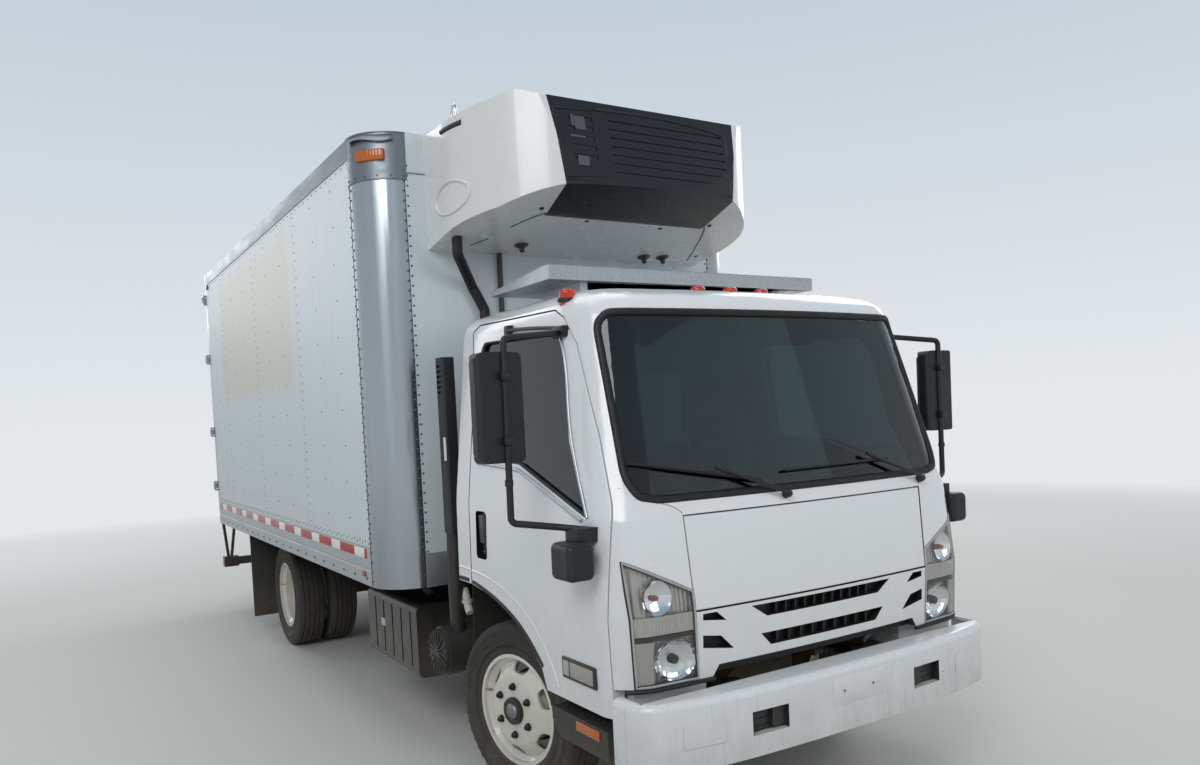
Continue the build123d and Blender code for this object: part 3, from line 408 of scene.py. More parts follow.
# EPDM glazing rubber: matt black, a little greyed by dust
rubber = moulded("glazing rubber", "#0E0F10", 0.55, 0.9, "#6F6B63", 0.25)
ahead, behind = Vector((0, -1, 0)), Vector((0, 1, 0))
edge_bead("cab_glass", "windshield_rubber",
          lambda face: face.normal.dot(ahead) > 0.5 and face.center.y < place(0, -0.4, 0).y,
          0.017, "cab", rubber, "black_plastic", soften=0.045)
edge_bead("cab_glass", "rear_window_rubber",
          lambda face: face.normal.dot(behind) > 0.5 and face.center.y > place(0, 0.2, 0).y,
          0.011, "cab", rubber, "black_plastic", soften=0.03)
for side, hand in SIDES:
    edge_bead("door_glass_" + hand, "door_window_rubber_" + hand, lambda face: face.normal.x * side > 0.5,
              0.010, "door_" + hand, rubber, "black_plastic", (side * 0.008, 0, 0), 0.03)


# Wipers
# Two wipers: a capped pivot on the cowl, a pressed black arm and a jointed blade with a rubber lip.
# They lie parked along the glass, held off it by the height of the blade.
def onto(piece, start, way):
    """Where a line from a point first meets a piece, and the way its skin faces there."""
    hit, spot, normal, face = piece.ray_cast(Vector(start), Vector(way))
    return spot, normal


def front_hit(x, z, piece=None):
    """Where the front of the cab, or of another piece, is met at a place, and the way it faces there."""
    return onto(piece or shell, place(x, -2.0, z), (0, 1, 0))


def on_front(x, z, piece=None, out=0.0):
    """A point on the cab's front, or that far in front of it."""
    spot, normal = front_hit(x, z, piece)
    return spot + normal * out


def tube(name, points, radius, smooth=True, sides=3, caps=True):
    """A round rod, tube or bead drawn as a path through points, then made a mesh."""
    bpy.ops.curve.primitive_nurbs_path_add(location=(0, 0, 0))
    path = bpy.context.object
    path.name = name
    path.data.splines.clear()
    line = path.data.splines.new("NURBS" if smooth else "POLY")
    line.points.add(len(points) - 1)
    for k, spot in enumerate(points):
        line.points[k].co = (*spot, 1)
    line.order_u = min(4, len(points))
    line.use_endpoint_u = True
    line.resolution_u = 5
    path.data.dimensions = "3D"
    path.data.bevel_depth, path.data.bevel_resolution, path.data.use_fill_caps = radius, sides, caps
    bpy.ops.object.convert(target="MESH")
    return shade(bpy.context.object, 50)


UP = Vector((0, 0, 1))


def spun(name, profile, centre=(0, 0, 0), axis=UP, steps=32, wall=0.0, flat=False):
    """A turned piece: a vertex extruded through (radius, height) points, and spun about the axis."""
    bpy.ops.mesh.primitive_plane_add(size=0.01, location=(0, 0, 0))
    piece = bpy.context.object
    piece.name = name
    edit()
    bpy.ops.mesh.select_mode(type="VERT")
    bpy.ops.mesh.select_all(action="SELECT")
    bpy.ops.mesh.merge(type="CENTER")
    last = Vector((0, 0, 0))
    for k, (radius, height) in enumerate(profile):
        spot = Vector((radius, 0, height))
        if k:
            bpy.ops.mesh.extrude_region_move(TRANSFORM_OT_translate={"value": spot - last})
        else:
            bpy.ops.transform.translate(value=spot)
        last = spot
    bpy.ops.mesh.select_all(action="SELECT")
    bpy.ops.mesh.spin(steps=steps, angle=math.tau, center=(0, 0, 0), axis=(0, 0, 1))
    bpy.ops.mesh.select_all(action="SELECT")
    bpy.ops.mesh.remove_doubles(threshold=0.00002)
    bpy.ops.mesh.normals_make_consistent(inside=False)
    leave_edit()
    piece.data.transform(Matrix.Translation(Vector(centre)) @ turned(axis))
    if wall:
        modify(piece, "SOLIDIFY", thickness=wall)
    return piece if flat else shade(piece, 35)


def turned(way):
    """The turn that takes an upright shape to face a way."""
    return UP.rotation_difference(Vector(way)).to_matrix().to_4x4()


def between(a, b, share):
    """The place at a share of the way from one place to another."""
    return [p + (q - p) * share for p, q in zip(a, b)]


def joined(name, pieces):
    """Several meshes joined as one piece."""
    bpy.ops.object.select_all(action="DESELECT")
    for piece in pieces:
        piece.select_set(True)
    bpy.context.view_layer.objects.active = pieces[0]
    if len(pieces) > 1:
        bpy.ops.object.join()
    piece = bpy.context.object
    piece.name = name
    return piece


bpy.context.view_layer.update()
# Pressed steel arms in semi-matt black, grey with dust on top
wiper_black = moulded("semi-matt black wiper paint", "#15161A", 0.42, 1.5, "#76716A", 0.2)
pane = frame["nodes"]["cab_glass"]
# Each wiper's pivot, the arm's far end, and the blade's two ends, across and up the front
WIPERS = (("right", (-0.164, 1.380), (-0.496, 1.504), (-0.846, 1.545), (-0.276, 1.443)),
          ("left", (0.682, 1.376), (0.339, 1.507), (-0.146, 1.473), (0.486, 1.480)))
COWL_TOP = 1.425
for hand, pivot, elbow, tip, heel in WIPERS:
    foot, normal = front_hit(*pivot)
    cap = spun("pivot", [(0.0, 0.034), (0.012, 0.033), (0.016, 0.024), (0.017, 0.0), (0.010, -0.004)],
               foot, normal, 20)
    rise = [foot + normal * 0.028]
    for share in (0.12, 0.5, 0.85, 1.0):
        x, z = between(pivot, elbow, share)
        rise.append(on_front(x, z, pane if z > COWL_TOP else shell, 0.036 - 0.006 * share))
    line = [between(tip, heel, k / 8) for k in range(9)]
    spine = [on_front(x, z, pane, 0.018 + 0.008 * math.sin(math.pi * k / 8)) for k, (x, z) in enumerate(line)]
    parts = [tube("arm", rise, 0.0075), cap, tube("spine", spine, 0.0055),
             tube("lip", [on_front(x, z, pane, 0.008) for x, z in line], 0.0045)]
    for shares in ((0.12, 0.24, 0.36), (0.64, 0.76, 0.88)):
        yoke = [on_front(*between(tip, heel, share), pane, high)
                for share, high in zip(shares, (0.010, 0.024, 0.010))]
        parts.append(tube("yoke", yoke, 0.004, sides=1))
    dress(joined("wiper_" + hand, parts), "cab", wiper_black, "black_plastic")


# Headlamps
# A clear polycarbonate lens over a metallised housing: ribbed and smoked above with a round turn reflector,
# then a fluted band, a dark divider and a faceted chrome bowl. A grey frame clips it into the wing.
def front_face(face):
    """True for the faces that look forwards."""
    return face.normal.dot(ahead) > 0.5


def band_of(node, name, low, high, sink, wall, x_from=None):
    """A strip of a frame piece's front skin between two heights, sunk below it and given a thickness."""
    piece = merged_copy(node, name)
    keep_faces(piece, front_face)
    cuts = [((0, 0, low), (0, 0, -1)), ((0, 0, high), (0, 0, 1))]
    if x_from:
        cuts.append(((x_from, 0, 0), (-1 if x_from > 0 else 1, 0, 0)))
    for spot, way in cuts:
        edit(piece)
        bpy.ops.mesh.bisect(plane_co=spot, plane_no=way, clear_outer=True)
        leave_edit()
    edit(piece)
    bpy.ops.transform.shrink_fatten(value=-sink)
    leave_edit()
    return shade(modify(piece, "SOLIDIFY", thickness=wall, offset=-1))


def faced(piece, material, wanted):
    """Give another finish to those faces of a piece that a test wants."""
    piece.data.materials.append(material)
    for face in piece.data.polygons:
        if wanted(face):
            face.material_index = len(piece.data.materials) - 1


def fluted(name, colour, pitch_mm, transmission=1.0, depth=0.6, roughness=0.05, metallic=0.0):
    """A pressed lens or housing with upright flutes."""
    material, tree, shader, spot = new_finish(name)
    flutes = add_node(tree, "TexWave", {"Vector": spot, "Scale": 314.16 / pitch_mm / 2, "Distortion": 0.0},
                      bands_direction="X", wave_profile="SIN").outputs["Fac"]
    bump = add_node(tree, "Bump", {"Height": flutes, "Strength": depth, "Distance": 0.002})
    wire(tree, shader, {"Base Color": stained(tree, spot, colour, "#7E776A", 0.4, 1.4, 12.0, 0.3),
                        "Normal": bump.outputs[0], "Roughness": roughness,
                        "Transmission Weight": transmission})
    wire(tree, shader, {"Metallic": metallic} if metallic else {"IOR": 1.58})
    return material


# Clear polycarbonate, smoked housing, vacuum-metallised bowls, and an amber-dyed bulb.
# The lens and the housing behind it are one closed form with the inner parts inside, so light hardly bends
# on its way in, as through a thin moulding, and the gloss is a coat.
clear_lens = safety_glass("clear polycarbonate", "#EEF1F2", 0.03, ior=1.08, coat=1.0)
smoked = fluted("smoked metallised housing", "#B4AFA8", 9, 0.0, 0.9, 0.28, 0.45)
flutes = fluted("fluted polycarbonate", "#C4BFB6", 7, 0.2, 0.8, 0.12)
chrome = fluted("vacuum-metallised reflector", "#E6E7E8", 16, 0.0, 0.15, 0.05, 1.0)
bulb_dye = fluted("amber-dyed bulb", "#B23A1E", 3, 0.4, 0.1, 0.1)
frame_grey = moulded("pale grey lamp frame", "#A9ABAA", 0.38, 1.6, "#6E6A62", 0.35)
lens = merged_copy("headlamps", "headlamps_formed")
dress(lens, "cab", clear_lens, "lamp_lens")
faced(lens, smoked, lambda face: not front_face(face))
dress(band_of("headlamps", "headlamp_fluted_bands", 0.915, 0.985, 0.005, 0.004), "cab", flutes, "lamp_lens")
dress(band_of("headlamps", "headlamp_dividers", 0.896, 0.911, 0.004, 0.018), "cab", rubber, "black_plastic")
lamp_skin = frame["nodes"]["headlamps"]
for side, hand in SIDES:
    outer = band_of("headlamps", "headlamp_side_panel_" + hand, 0.735, 0.892, 0.006, 0.014, side * 0.842)
    dress(outer, "cab", smoked, "lamp_lens")
    spot, normal = front_hit(side * 0.815, 1.052, lamp_skin)
    bowl = spun("bowl", [(0.066, 0.001), (0.064, 0.0), (0.057, -0.006), (0.040, -0.012), (0.012, -0.015)],
                spot - normal * 0.012, normal, 32, 0.001)
    bulb = spun("turn_bulb_" + hand, [(0.0, -0.006), (0.008, -0.008), (0.011, -0.015), (0.009, -0.026)],
                spot, normal, 18)
    dress(bulb, "cab", bulb_dye, "amber_lens")
    spot, normal = front_hit(side * 0.748, 0.812, lamp_skin)
    rim = spot - normal * 0.006
    facets = spun("facets", [(0.078, 0.002), (0.076, 0.0), (0.068, -0.008), (0.053, -0.015), (0.033, -0.020),
                             (0.014, -0.022)], rim, normal, 18, 0.001, flat=True)
    # The lower bowl is wider than it is high
    widen = Matrix.Translation(rim) @ Matrix.Diagonal((1.22, 1.0, 1.0, 1.0)) @ Matrix.Translation(-rim)
    facets.data.transform(widen)
    dress(joined("headlamp_reflectors_" + hand, [bowl, facets]), "cab", chrome, "lamp_lens")
    shield = spun("headlamp_bulb_shield_" + hand, [(0.0, -0.002), (0.015, -0.003), (0.018, -0.008),
                                                   (0.018, -0.021)], rim, normal, 20)
    dress(shield, "cab", rubber, "black_plastic")
    # A strip in black rubber fills the gap under the lamp, at one height along the cab's front, as painted
    # shade in the gap
    strip = [on_front(side * x, 0.745, lamp_skin if 0.655 < x < 0.925 else shell, 0.002)
             for x in (0.58, 0.62, 0.66, 0.70, 0.74, 0.78, 0.82, 0.86, 0.90, 0.94)]
    strip = tube("lamp_sill_" + hand, [Vector((spot.x, spot.y, 0.7135)) for spot in strip], 0.0085)
    dress(strip, "cab", rubber, "black_plastic")
edge_bead("headlamps", "headlamp_gaskets", front_face, 0.009, "cab", rubber, "black_plastic", (0, 0.006, 0))
edge_bead("headlamps", "headlamp_frames", front_face, 0.0055, "cab", frame_grey, "lamp_lens")
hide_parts("headlamps")


# Grille and front bumper
# The grille's dark insert is injection-moulded, and shows behind the slots with its upright bars.
# The bumper is a white moulded skin with a soft orange-peel gloss, chipped and streaked with dirt.
def block(name, low, high, rounding=0.003, segments=2, on_drawing=True):
    """A block between two corners, with its edges rounded."""
    if on_drawing:
        low, high = place(*low), place(*high)
    low, high = Vector(low), Vector(high)
    bpy.ops.mesh.primitive_cube_add(size=1, location=(low + high) / 2)
    piece = bpy.context.object
    piece.name = name
    piece.scale = [abs(b - a) for a, b in zip(low, high)]
    bpy.ops.object.transform_apply(location=True, rotation=True, scale=True)
    edit()
    bpy.ops.mesh.bevel(offset=rounding, segments=segments, affect="EDGES")
    leave_edit()
    return shade(piece)


def beside(name, side, x0, x1, y0, y1, z0, z1, rounding=0.003):
    """A block on one side of the truck, its x given outwards."""
    return block(name, (min(side * x0, side * x1), y0, z0), (max(side * x0, side * x1), y1, z1), rounding)


def copies(name, pattern, moves):
    """Copies of one modelled pattern, each moved from its place, joined as one piece."""
    made = []
    for move in moves:
        copy = pattern.copy()
        copy.data = pattern.data.copy()
        copy.data.transform(move if isinstance(move, Matrix) else Matrix.Translation(Vector(move)))
        bpy.context.scene.collection.objects.link(copy)
        made.append(copy)
    bpy.data.objects.remove(pattern)
    return joined(name, made)


def facing(spot, way):
    """The move that takes a pattern modelled upright at the origin to a spot, turned to face a way."""
    return Matrix.Translation(Vector(spot)) @ turned(way)


def bolt(radius, height):
    """A hexagon bolt head with a chamfer on a washer, upright at the origin."""
    washer = spun("washer", [(0.0, height * 0.25), (radius * 1.35, height * 0.25), (radius * 1.35, 0.0)],
                  steps=16)
    head = spun("bolt", [(0.0, height), (radius * 0.85, height), (radius, height * 0.85), (radius, 0.0)],
                steps=6, flat=True)
    return joined("bolt", [head, washer])


def new_metal(name, colour, roughness, spread=0.12, grime="#5B564D", grip=0.3, stretch=(1, 1, 1), scale=14.0):
    """A metal: dull and bright patches, drawn out the way it was rolled or polished, and grime low down."""
    material, tree, shader, spot = new_finish(name)
    drawn = add_node(tree, "Mapping", {"Vector": spot, "Scale": stretch}).outputs[0]
    patch = add_node(tree, "TexNoise", {"Vector": drawn, "Scale": scale, "Detail": 6.0}).outputs["Fac"]
    dull = add_node(tree, "MapRange", {"Value": patch, "From Min": 0.3, "From Max": 0.7,
                                       "To Min": max(roughness - spread, 0.02), "To Max": roughness + spread})
    bump = add_node(tree, "Bump", {"Height": patch, "Strength": 0.08, "Distance": 0.002})
    wire(tree, shader, {"Base Color": stained(tree, spot, colour, grime, 0.2, 1.6, 6.0, grip),
                        "Roughness": dull.outputs["Result"], "Normal": bump.outputs[0], "Metallic": 1.0})
    return material


def opened(material):
    """A finish's tree, the tone and the socket of its colour, and its Object coordinates, to add to it."""
    tree = material.node_tree
    socket = tree.nodes["Principled BSDF"].inputs["Base Color"]
    return tree, socket.links[0].from_socket, socket, add_node(tree, "TexCoord").outputs["Object"]


black_plastic = moulded("black moulded plastic", "#121316", 0.45, 1.0, "#716C64", 0.3)
finish("grille", moulded("black grille plastic", "#0B0C0E", 0.5, 0.9, "#55524C", 0.25))
# In ragged patches the bumper grows darker towards the bottom, from 0.72 m down to 0.42 m above the ground
bumper_white = enamel("white painted bumper plastic", "#DDE0E2", "#8F897D", 0.30, 0.35, 0.42, 0.72, 0.75)
tree, tone, socket, spot = opened(bumper_white)
# Upright streaks of dirt, about 12 mm apart, and chips a few millimetres across
drawn = add_node(tree, "Mapping", {"Vector": spot, "Scale": (80.0, 80.0, 1.5)}).outputs[0]
streak = add_node(tree, "TexNoise", {"Vector": drawn, "Scale": 1.0, "Detail": 3.0})
streak = add_node(tree, "MapRange", {"Value": streak.outputs["Fac"], "From Min": 0.55, "From Max": 0.85,
                                     "To Max": 0.30}).outputs["Result"]
tone = add_node(tree, "Mix", {0: streak, 6: tone, 7: linear("#7D776C")}, data_type="RGBA").outputs[2]
chip = add_node(tree, "TexNoise", {"Vector": spot, "Scale": 42.0, "Detail": 2.0})
chip = add_node(tree, "MapRange", {"Value": chip.outputs["Fac"], "From Min": 0.76,
                                   "From Max": 0.78}).outputs[0]
tone = add_node(tree, "Mix", {0: chip, 6: tone, 7: linear("#54534F")}, data_type="RGBA").outputs[2]
tree.links.new(tone, socket)
bumper = rounded("front_bumper", bumper_white, 0.006, "bumper_plastic", 3)
pocket_low, pocket_high = place(0.34, -1.2175, 0.512), place(0.545, -1.05, 0.64)


def in_pocket(face):
    """True for the inner faces of the two lamp pockets."""
    spot = Vector((abs(face.center.x), face.center.y, face.center.z))
    return face.normal.z < 0.9 and all(a < b < c for a, b, c in zip(pocket_low, spot, pocket_high))


# The pockets' inner walls are given black plastic: painted shade in the recesses
faced(bumper, black_plastic, in_pocket)
for side, hand in SIDES:
    # Ribbed black blanks close the two lamp pockets
    plate = beside("plate", side, 0.3575, 0.5325, -1.1905, -1.1845, 0.5195, 0.6105, 0.001)
    ribs = [beside("rib", side, 0.366, 0.524, -1.1945, -1.1900, z, z + 0.006, 0.0015)
            for z in (0.535, 0.562, 0.589)]
    dress(joined("bumper_pocket_blank_" + hand, [plate, *ribs]), "root", black_plastic, "black_plastic")
heads = [facing(place(x, -1.2345, 0.600), (0, -1, 0)) for x in (-0.065, 0.100)]
bolt_steel = new_metal("zinc-plated bolt steel", "#8C8C88", 0.45)
dress(copies("bumper_bolts", bolt(0.006, 0.004), heads), "root", bolt_steel, "steel")
panel = block("bumper_plate_pad", (-0.125, -1.2358, 0.545), (0.165, -1.2335, 0.655), 0.0012)
dress(panel, "root", bumper_white, "bumper_plastic")


# Doors
# Each pressed door has a glossy black pull handle in a cup, a bright trim along its window, a rolled line
# over the arch, and a ribbed turn lamp in a black frame. Black rubber lips line the arches.
def on_side(side, y, z, piece, out=0.0):
    """A point on the side of a piece, or that far outside it."""
    spot, normal = onto(piece, place(side * 2.0, y, z), (-side, 0, 0))
    return spot + normal * out


bright_trim = new_metal("anodised window trim", "#B4B8BA", 0.36, 0.02, grip=0.05)
turn_lens = fluted("clear ribbed turn lens", "#D9D4CB", 8, 0.5, 0.8, 0.1)
gloss_black = moulded("gloss black handle plastic", "#0A0A0C", 0.22, 2.0, "#66625B", 0.2, depth=0.05)
# Lines along the side as places behind the axle and heights: over the wheel arch and along its edge, on
# the door and behind it on the cab, and the window's trim along the sill and up the front post
ARCH_LINE = ((-0.560, 0.640), (-0.515, 0.730), (-0.440, 0.815), (-0.340, 0.893), (-0.200, 0.960),
             (-0.040, 1.000), (0.100, 1.020), (0.225, 1.026))
ARCH_END = ((0.246, 1.028), (0.30, 1.030), (0.362, 1.032))
ARCH_LIP = ((-0.437, 0.702), (-0.320, 0.812), (-0.162, 0.892), (0.048, 0.947), (0.216, 0.972))
ARCH_LIP_END = ((0.262, 0.976), (0.32, 0.976), (0.372, 0.976))
SILL_TRIM = ((0.150, 1.540), (-0.060, 1.530), (-0.265, 1.521), (-0.300, 1.510), (-0.500, 1.444),
             (-0.700, 1.377), (-0.815, 1.340))
POST_TRIM = ((-0.853, 1.352), (-0.790, 1.480), (-0.706, 1.648), (-0.672, 1.800), (-0.641, 1.985),
             (-0.575, 2.072))
for side, hand in SIDES:
    door = "door_" + hand
    skin = bpy.data.objects[door + "_formed"]
    for name, body, piece, line, out, radius, material, slot in (
            ("door_arch_line_", door, skin, ARCH_LINE, -0.004, 0.0085, cab_paint, "white_paint"),
            ("cab_arch_line_", "cab", shell, ARCH_END, -0.004, 0.0085, cab_paint, "white_paint"),
            ("door_arch_lip_", door, skin, ARCH_LIP, -0.006, 0.012, rubber, "flap_rubber"),
            ("cab_arch_lip_", "cab", shell, ARCH_LIP_END, -0.006, 0.012, rubber, "flap_rubber")):
        bead = tube(name + hand, [on_side(side, y, z, piece, out) for y, z in line], radius)
        dress(bead, body, material, slot)
    trims = [tube("trim", [on_side(side, y, z, skin, 0.0035) for y, z in line], radius)
             for line, radius in ((SILL_TRIM, 0.0075), (POST_TRIM, 0.0065))]
    dress(joined("window_trim_" + hand, trims), door, bright_trim, "bright_aluminium")
    cup = beside("cup", side, 0.9622, 0.9662, 0.054, 0.158, 1.102, 1.308, 0.002)
    grip = beside("grip", side, 0.969, 0.982, 0.066, 0.140, 1.166, 1.300, 0.006)
    stem = beside("stem", side, 0.963, 0.972, 0.080, 0.126, 1.270, 1.296, 0.003)
    lock = spun("lock", [(0.0, 0.008), (0.008, 0.008), (0.010, 0.005), (0.011, 0.0)],
                place(side * 0.9665, 0.104, 1.128), (side, 0, 0), 20)
    dress(joined("door_handle_" + hand, [cup, grip, stem, lock]), door, gloss_black, "black_plastic")
    # The turn lamp low on the door: frame, ribbed lens and the cap in front of it
    near, far = sorted(abs(on_side(side, y, 0.742, skin).x) for y in (-0.870, -0.620))
    for name, x0, x1, y0, y1, z0, z1, rounding, material, slot in (
            ("frame_", near - 0.006, far + 0.009, -0.868, -0.612, 0.700, 0.786, 0.007, black_plastic,
             "black_plastic"),
            ("lens_", near, far + 0.013, -0.852, -0.680, 0.712, 0.774, 0.006, turn_lens, "lamp_lens"),
            ("cap_", near, far + 0.0125, -0.672, -0.624, 0.712, 0.774, 0.006, frame_grey, "lamp_lens")):
        lamp = beside("turn_lamp_" + name + hand, side, x0, x1, y0, y1, z0, z1, rounding)
        dress(lamp, door, material, slot)
    # Brackets of the mirror arm along the top of the door
    reach = abs(on_side(side, -0.585, 2.075, skin).x)
    mount = beside("mount", side, reach - 0.02, reach + 0.024, -0.640, -0.545, 2.052, 2.098, 0.008)
    rear = beside("rear", side, reach - 0.02, reach + 0.020, -0.155, -0.110, 2.104, 2.150, 0.006)
    stay = tube("stay", [place(side * (reach + out), y, z) for out, y, z in (
        (0.012, -0.60, 2.090), (0.020, -0.35, 2.118), (0.012, -0.13, 2.128))], 0.008)
    dress(joined("mirror_arm_stay_" + hand, [mount, rear, stay]), door, black_plastic, "black_plastic")
# Body seams at the foot of each windshield post, beside it and beside the lid, filled with dark sealer
sealer = moulded("grey seam sealer", "#3A3C3E", 0.6, 2.0)
SEAMS = (((0.895, 1.462), (0.845, 1.415), (0.780, 1.396), (0.705, 1.388), (0.672, 1.352)),
         ((0.893, 1.505), (0.925, 1.508), (0.950, 1.510)), ((0.664, 0.983), (0.660, 1.02), (0.659, 1.057)))
for side, hand in SIDES:
    seams = [tube("seam", [on_front(side * x, z, None, -0.0012) for x, z in line], 0.0022, sides=1)
             for line in SEAMS]
    dress(joined("cab_seams_" + hand, seams), "cab", sealer, "black_plastic")


# Mirrors
# Black powder-coated tubes clamp two grained housings, one with a flat glass and one with a curved one.
mirror_black = moulded("grained mirror housing", "#0D0E11", 0.5, 1.4, "#6A665F", 0.18)
mirror_glass = new_metal("silvered mirror glass", "#C9D0D3", 0.03)


def cut_away(piece, tool):
    """Take one shape's volume out of another, and remove the tool."""
    modify(piece, "BOOLEAN", operation="DIFFERENCE", solver="EXACT", object=tool)
    bpy.data.objects.remove(tool)


CORNER, PAST = 0.034, 0.004
for side, hand in SIDES:
    door = "door_" + hand
    head = merged_copy("mirror_" + hand, "mirror_" + hand + "_formed")
    # The tall housing's four corners are rounded as seen from the front
    for x, inward in ((1.155, 1), (1.350, -1)):
        for z, upward in ((1.575, 1), (1.985, -1)):
            mid_x, mid_z = x + inward * CORNER, z + upward * CORNER
            x0, x1 = sorted((mid_x, x - inward * PAST))
            z0, z1 = sorted((mid_z, z - upward * PAST))
            spandrel = beside("spandrel", side, x0, x1, -0.760, -0.620, z0, z1, 0.0005)
            bpy.ops.mesh.primitive_cylinder_add(vertices=48, radius=CORNER, depth=0.3,
                                                rotation=(math.pi / 2, 0, 0),
                                                location=place(side * mid_x, -0.690, mid_z))
            round_bar = bpy.context.object
            bpy.ops.object.transform_apply(location=True, rotation=True, scale=True)
            cut_away(spandrel, round_bar)
            cut_away(head, spandrel)
    dress(round_edges(head, 0.003), door, mirror_black, "black_plastic")
    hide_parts("mirror_" + hand)
    big = beside("big", side, 1.172, 1.333, -0.6565, -0.6510, 1.598, 1.962, 0.002)
    small = spun("small", [(0.0, 0.004), (0.040, 0.002), (0.047, -0.002)],
                 place(side * 1.0725, -0.806, 1.205), (0, 1, 0), 28)
    dress(joined("mirror_glasses_" + hand, [big, small]), door, mirror_glass, "glass")
    rim = [(1.165, 1.612), (1.187, 1.590), (1.318, 1.590), (1.340, 1.612), (1.340, 1.948), (1.318, 1.970),
           (1.187, 1.970), (1.165, 1.948), (1.165, 1.612)]
    rim = tube("mirror_rim_" + hand, [place(side * x, -0.6545, z) for x, z in rim], 0.0035, smooth=False)
    dress(rim, door, black_plastic, "black_plastic")
    clamps = [beside("clamp", side, 1.222, 1.258, -0.752, -0.722, z, z + 0.032, 0.004)
              for z in (1.640, 1.880)]
    sleeve = spun("sleeve", [(0.0135, -0.012), (0.016, -0.010), (0.016, 0.010), (0.0135, 0.012)],
                  place(side * 1.240, -0.730, 1.500), steps=24)
    dress(joined("mirror_clamps_" + hand, [*clamps, sleeve]), door, black_plastic, "black_plastic")


# Roof marker lamps
# Five domed lamps of amber-red polycarbonate on black foam gaskets, screwed through the roof panel.
marker = fluted("amber-red polycarbonate", "#E2380F", 5, 0.35, 0.35, 0.14)
rounded("roof_lamps", marker, 0.003, "amber_lens")
rings = []
for x in (-0.857, -0.186, 0.0, 0.186, 0.857):
    spot, normal = onto(shell, place(x, -0.616, 2.6), -UP)
    rings.append(facing(place(x, -0.570, spot.z + 0.004), (0, -0.08, 1)))
gasket = spun("gasket", [(0.030, 0.006), (0.038, 0.005), (0.041, 0.0), (0.041, -0.012)], steps=24, wall=0.002)
dress(copies("roof_lamp_gaskets", gasket, rings), "cab", rubber, "black_plastic")


# Tyres
# Radial truck tyres with four circumferential grooves, shoulder lugs and fine sidewall ribs, in worn
# brown-black rubber, paler where the road dust lies. Each is spun about its axle, for the frame's plain one.
TYRE_RADIUS, TREAD_HALF, BEAD = 0.405, 0.086, 0.250
GROOVES, GROOVE_HALF, GROOVE_DEPTH = (-0.057, -0.019, 0.019, 0.057), 0.0045, 0.009
SHOULDER_LUGS = 56


def tread_radius(u):
    """How far the crowned tread stands from the axle, at a distance from the tyre's middle."""
    return TYRE_RADIUS - 0.0006 - 0.0045 * (u / TREAD_HALF) ** 2


def tyre_profile():
    """The tyre's closed section as (radius, distance from its middle): tread, ribbed sidewalls and beads."""
    points = [(tread_radius(-TREAD_HALF), -TREAD_HALF)]
    for u in GROOVES:
        top, floor_radius = tread_radius(u), tread_radius(u) - GROOVE_DEPTH
        points += [(top, u - GROOVE_HALF), (floor_radius, u - GROOVE_HALF * 0.6),
                   (floor_radius, u + GROOVE_HALF * 0.6), (top, u + GROOVE_HALF)]
    points.append((tread_radius(TREAD_HALF), TREAD_HALF))
    wall = [(0.393, 0.096), (0.386, 0.100), (0.378, 0.1045), (0.366, 0.1085)]
    for radius in (0.350, 0.338, 0.300, 0.290):
        bulge = 0.1115 - 9.5 * (radius - 0.328) ** 2
        wall += [(radius + 0.0025, bulge - 0.0012), (radius + 0.0012, bulge + 0.0006),
                 (radius - 0.0012, bulge + 0.0006), (radius - 0.0025, bulge - 0.0012)]
    wall += [(0.277, 0.102), (0.268, 0.101), (0.262, 0.0985), (BEAD, 0.092)]
    outer = points + wall
    inner = [(BEAD, 0.080), (0.285, 0.088), (0.330, 0.096), (0.375, 0.088), (0.388, 0.060)]
    inner += [(r, -u) for r, u in reversed(inner)]
    return outer + inner + [(r, -u) for r, u in reversed(wall)] + points[:1]


tyre_rubber = moulded("worn tyre rubber", "#211F1E", 0.78, 2.2, "#6F675B", 0.75, 0.0, 1.0)
STEER = math.radians(12.5)
TWIN_HALF = 0.127
ROAD_WHEELS = [(side, hand, end, "s" if end == "rear" else "")
               for end in ("front", "rear") for side, hand in SIDES]


def spoke(axis, angle):
    """The way out from an axle at an angle round it."""
    return axis.cross(UP) * math.cos(angle) + UP * math.sin(angle)


for side, hand, end, plural in ROAD_WHEELS:
    node = end + "_tyre" + plural + "_" + hand
    low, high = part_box(node)
    axis = Vector((1, 0, 0)) if plural else Vector((math.cos(STEER), math.sin(STEER), 0))
    made = []
    for shift in (-TWIN_HALF, TWIN_HALF) if plural else (0,):
        middle = (low + high) / 2 + axis * shift
        made.append(spun("tyre", tyre_profile(), middle, axis, 72))
        moves = []
        for edge in (-1, 1):
            for lug in range(SHOULDER_LUGS):
                out = spoke(axis, math.tau * (lug + (0.5 if edge > 0 else 0)) / SHOULDER_LUGS)
                moves.append(Matrix((axis * edge, out.cross(axis), out)).transposed().to_4x4())
                moves[-1].translation = middle + axis * (0.0915 * edge) + out * 0.3935
        lug = block("lug", (-0.009, -0.0075, -0.012), (0.006, 0.0075, 0.0045), 0.0025, 1, on_drawing=False)
        made.append(copies("lugs", lug, moves))
    tyres = joined(node + "_moulded", made)
    dress(tyres, end + "_wheel" + plural + "_" + hand, tyre_rubber, "tyre_rubber")
    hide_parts(node)


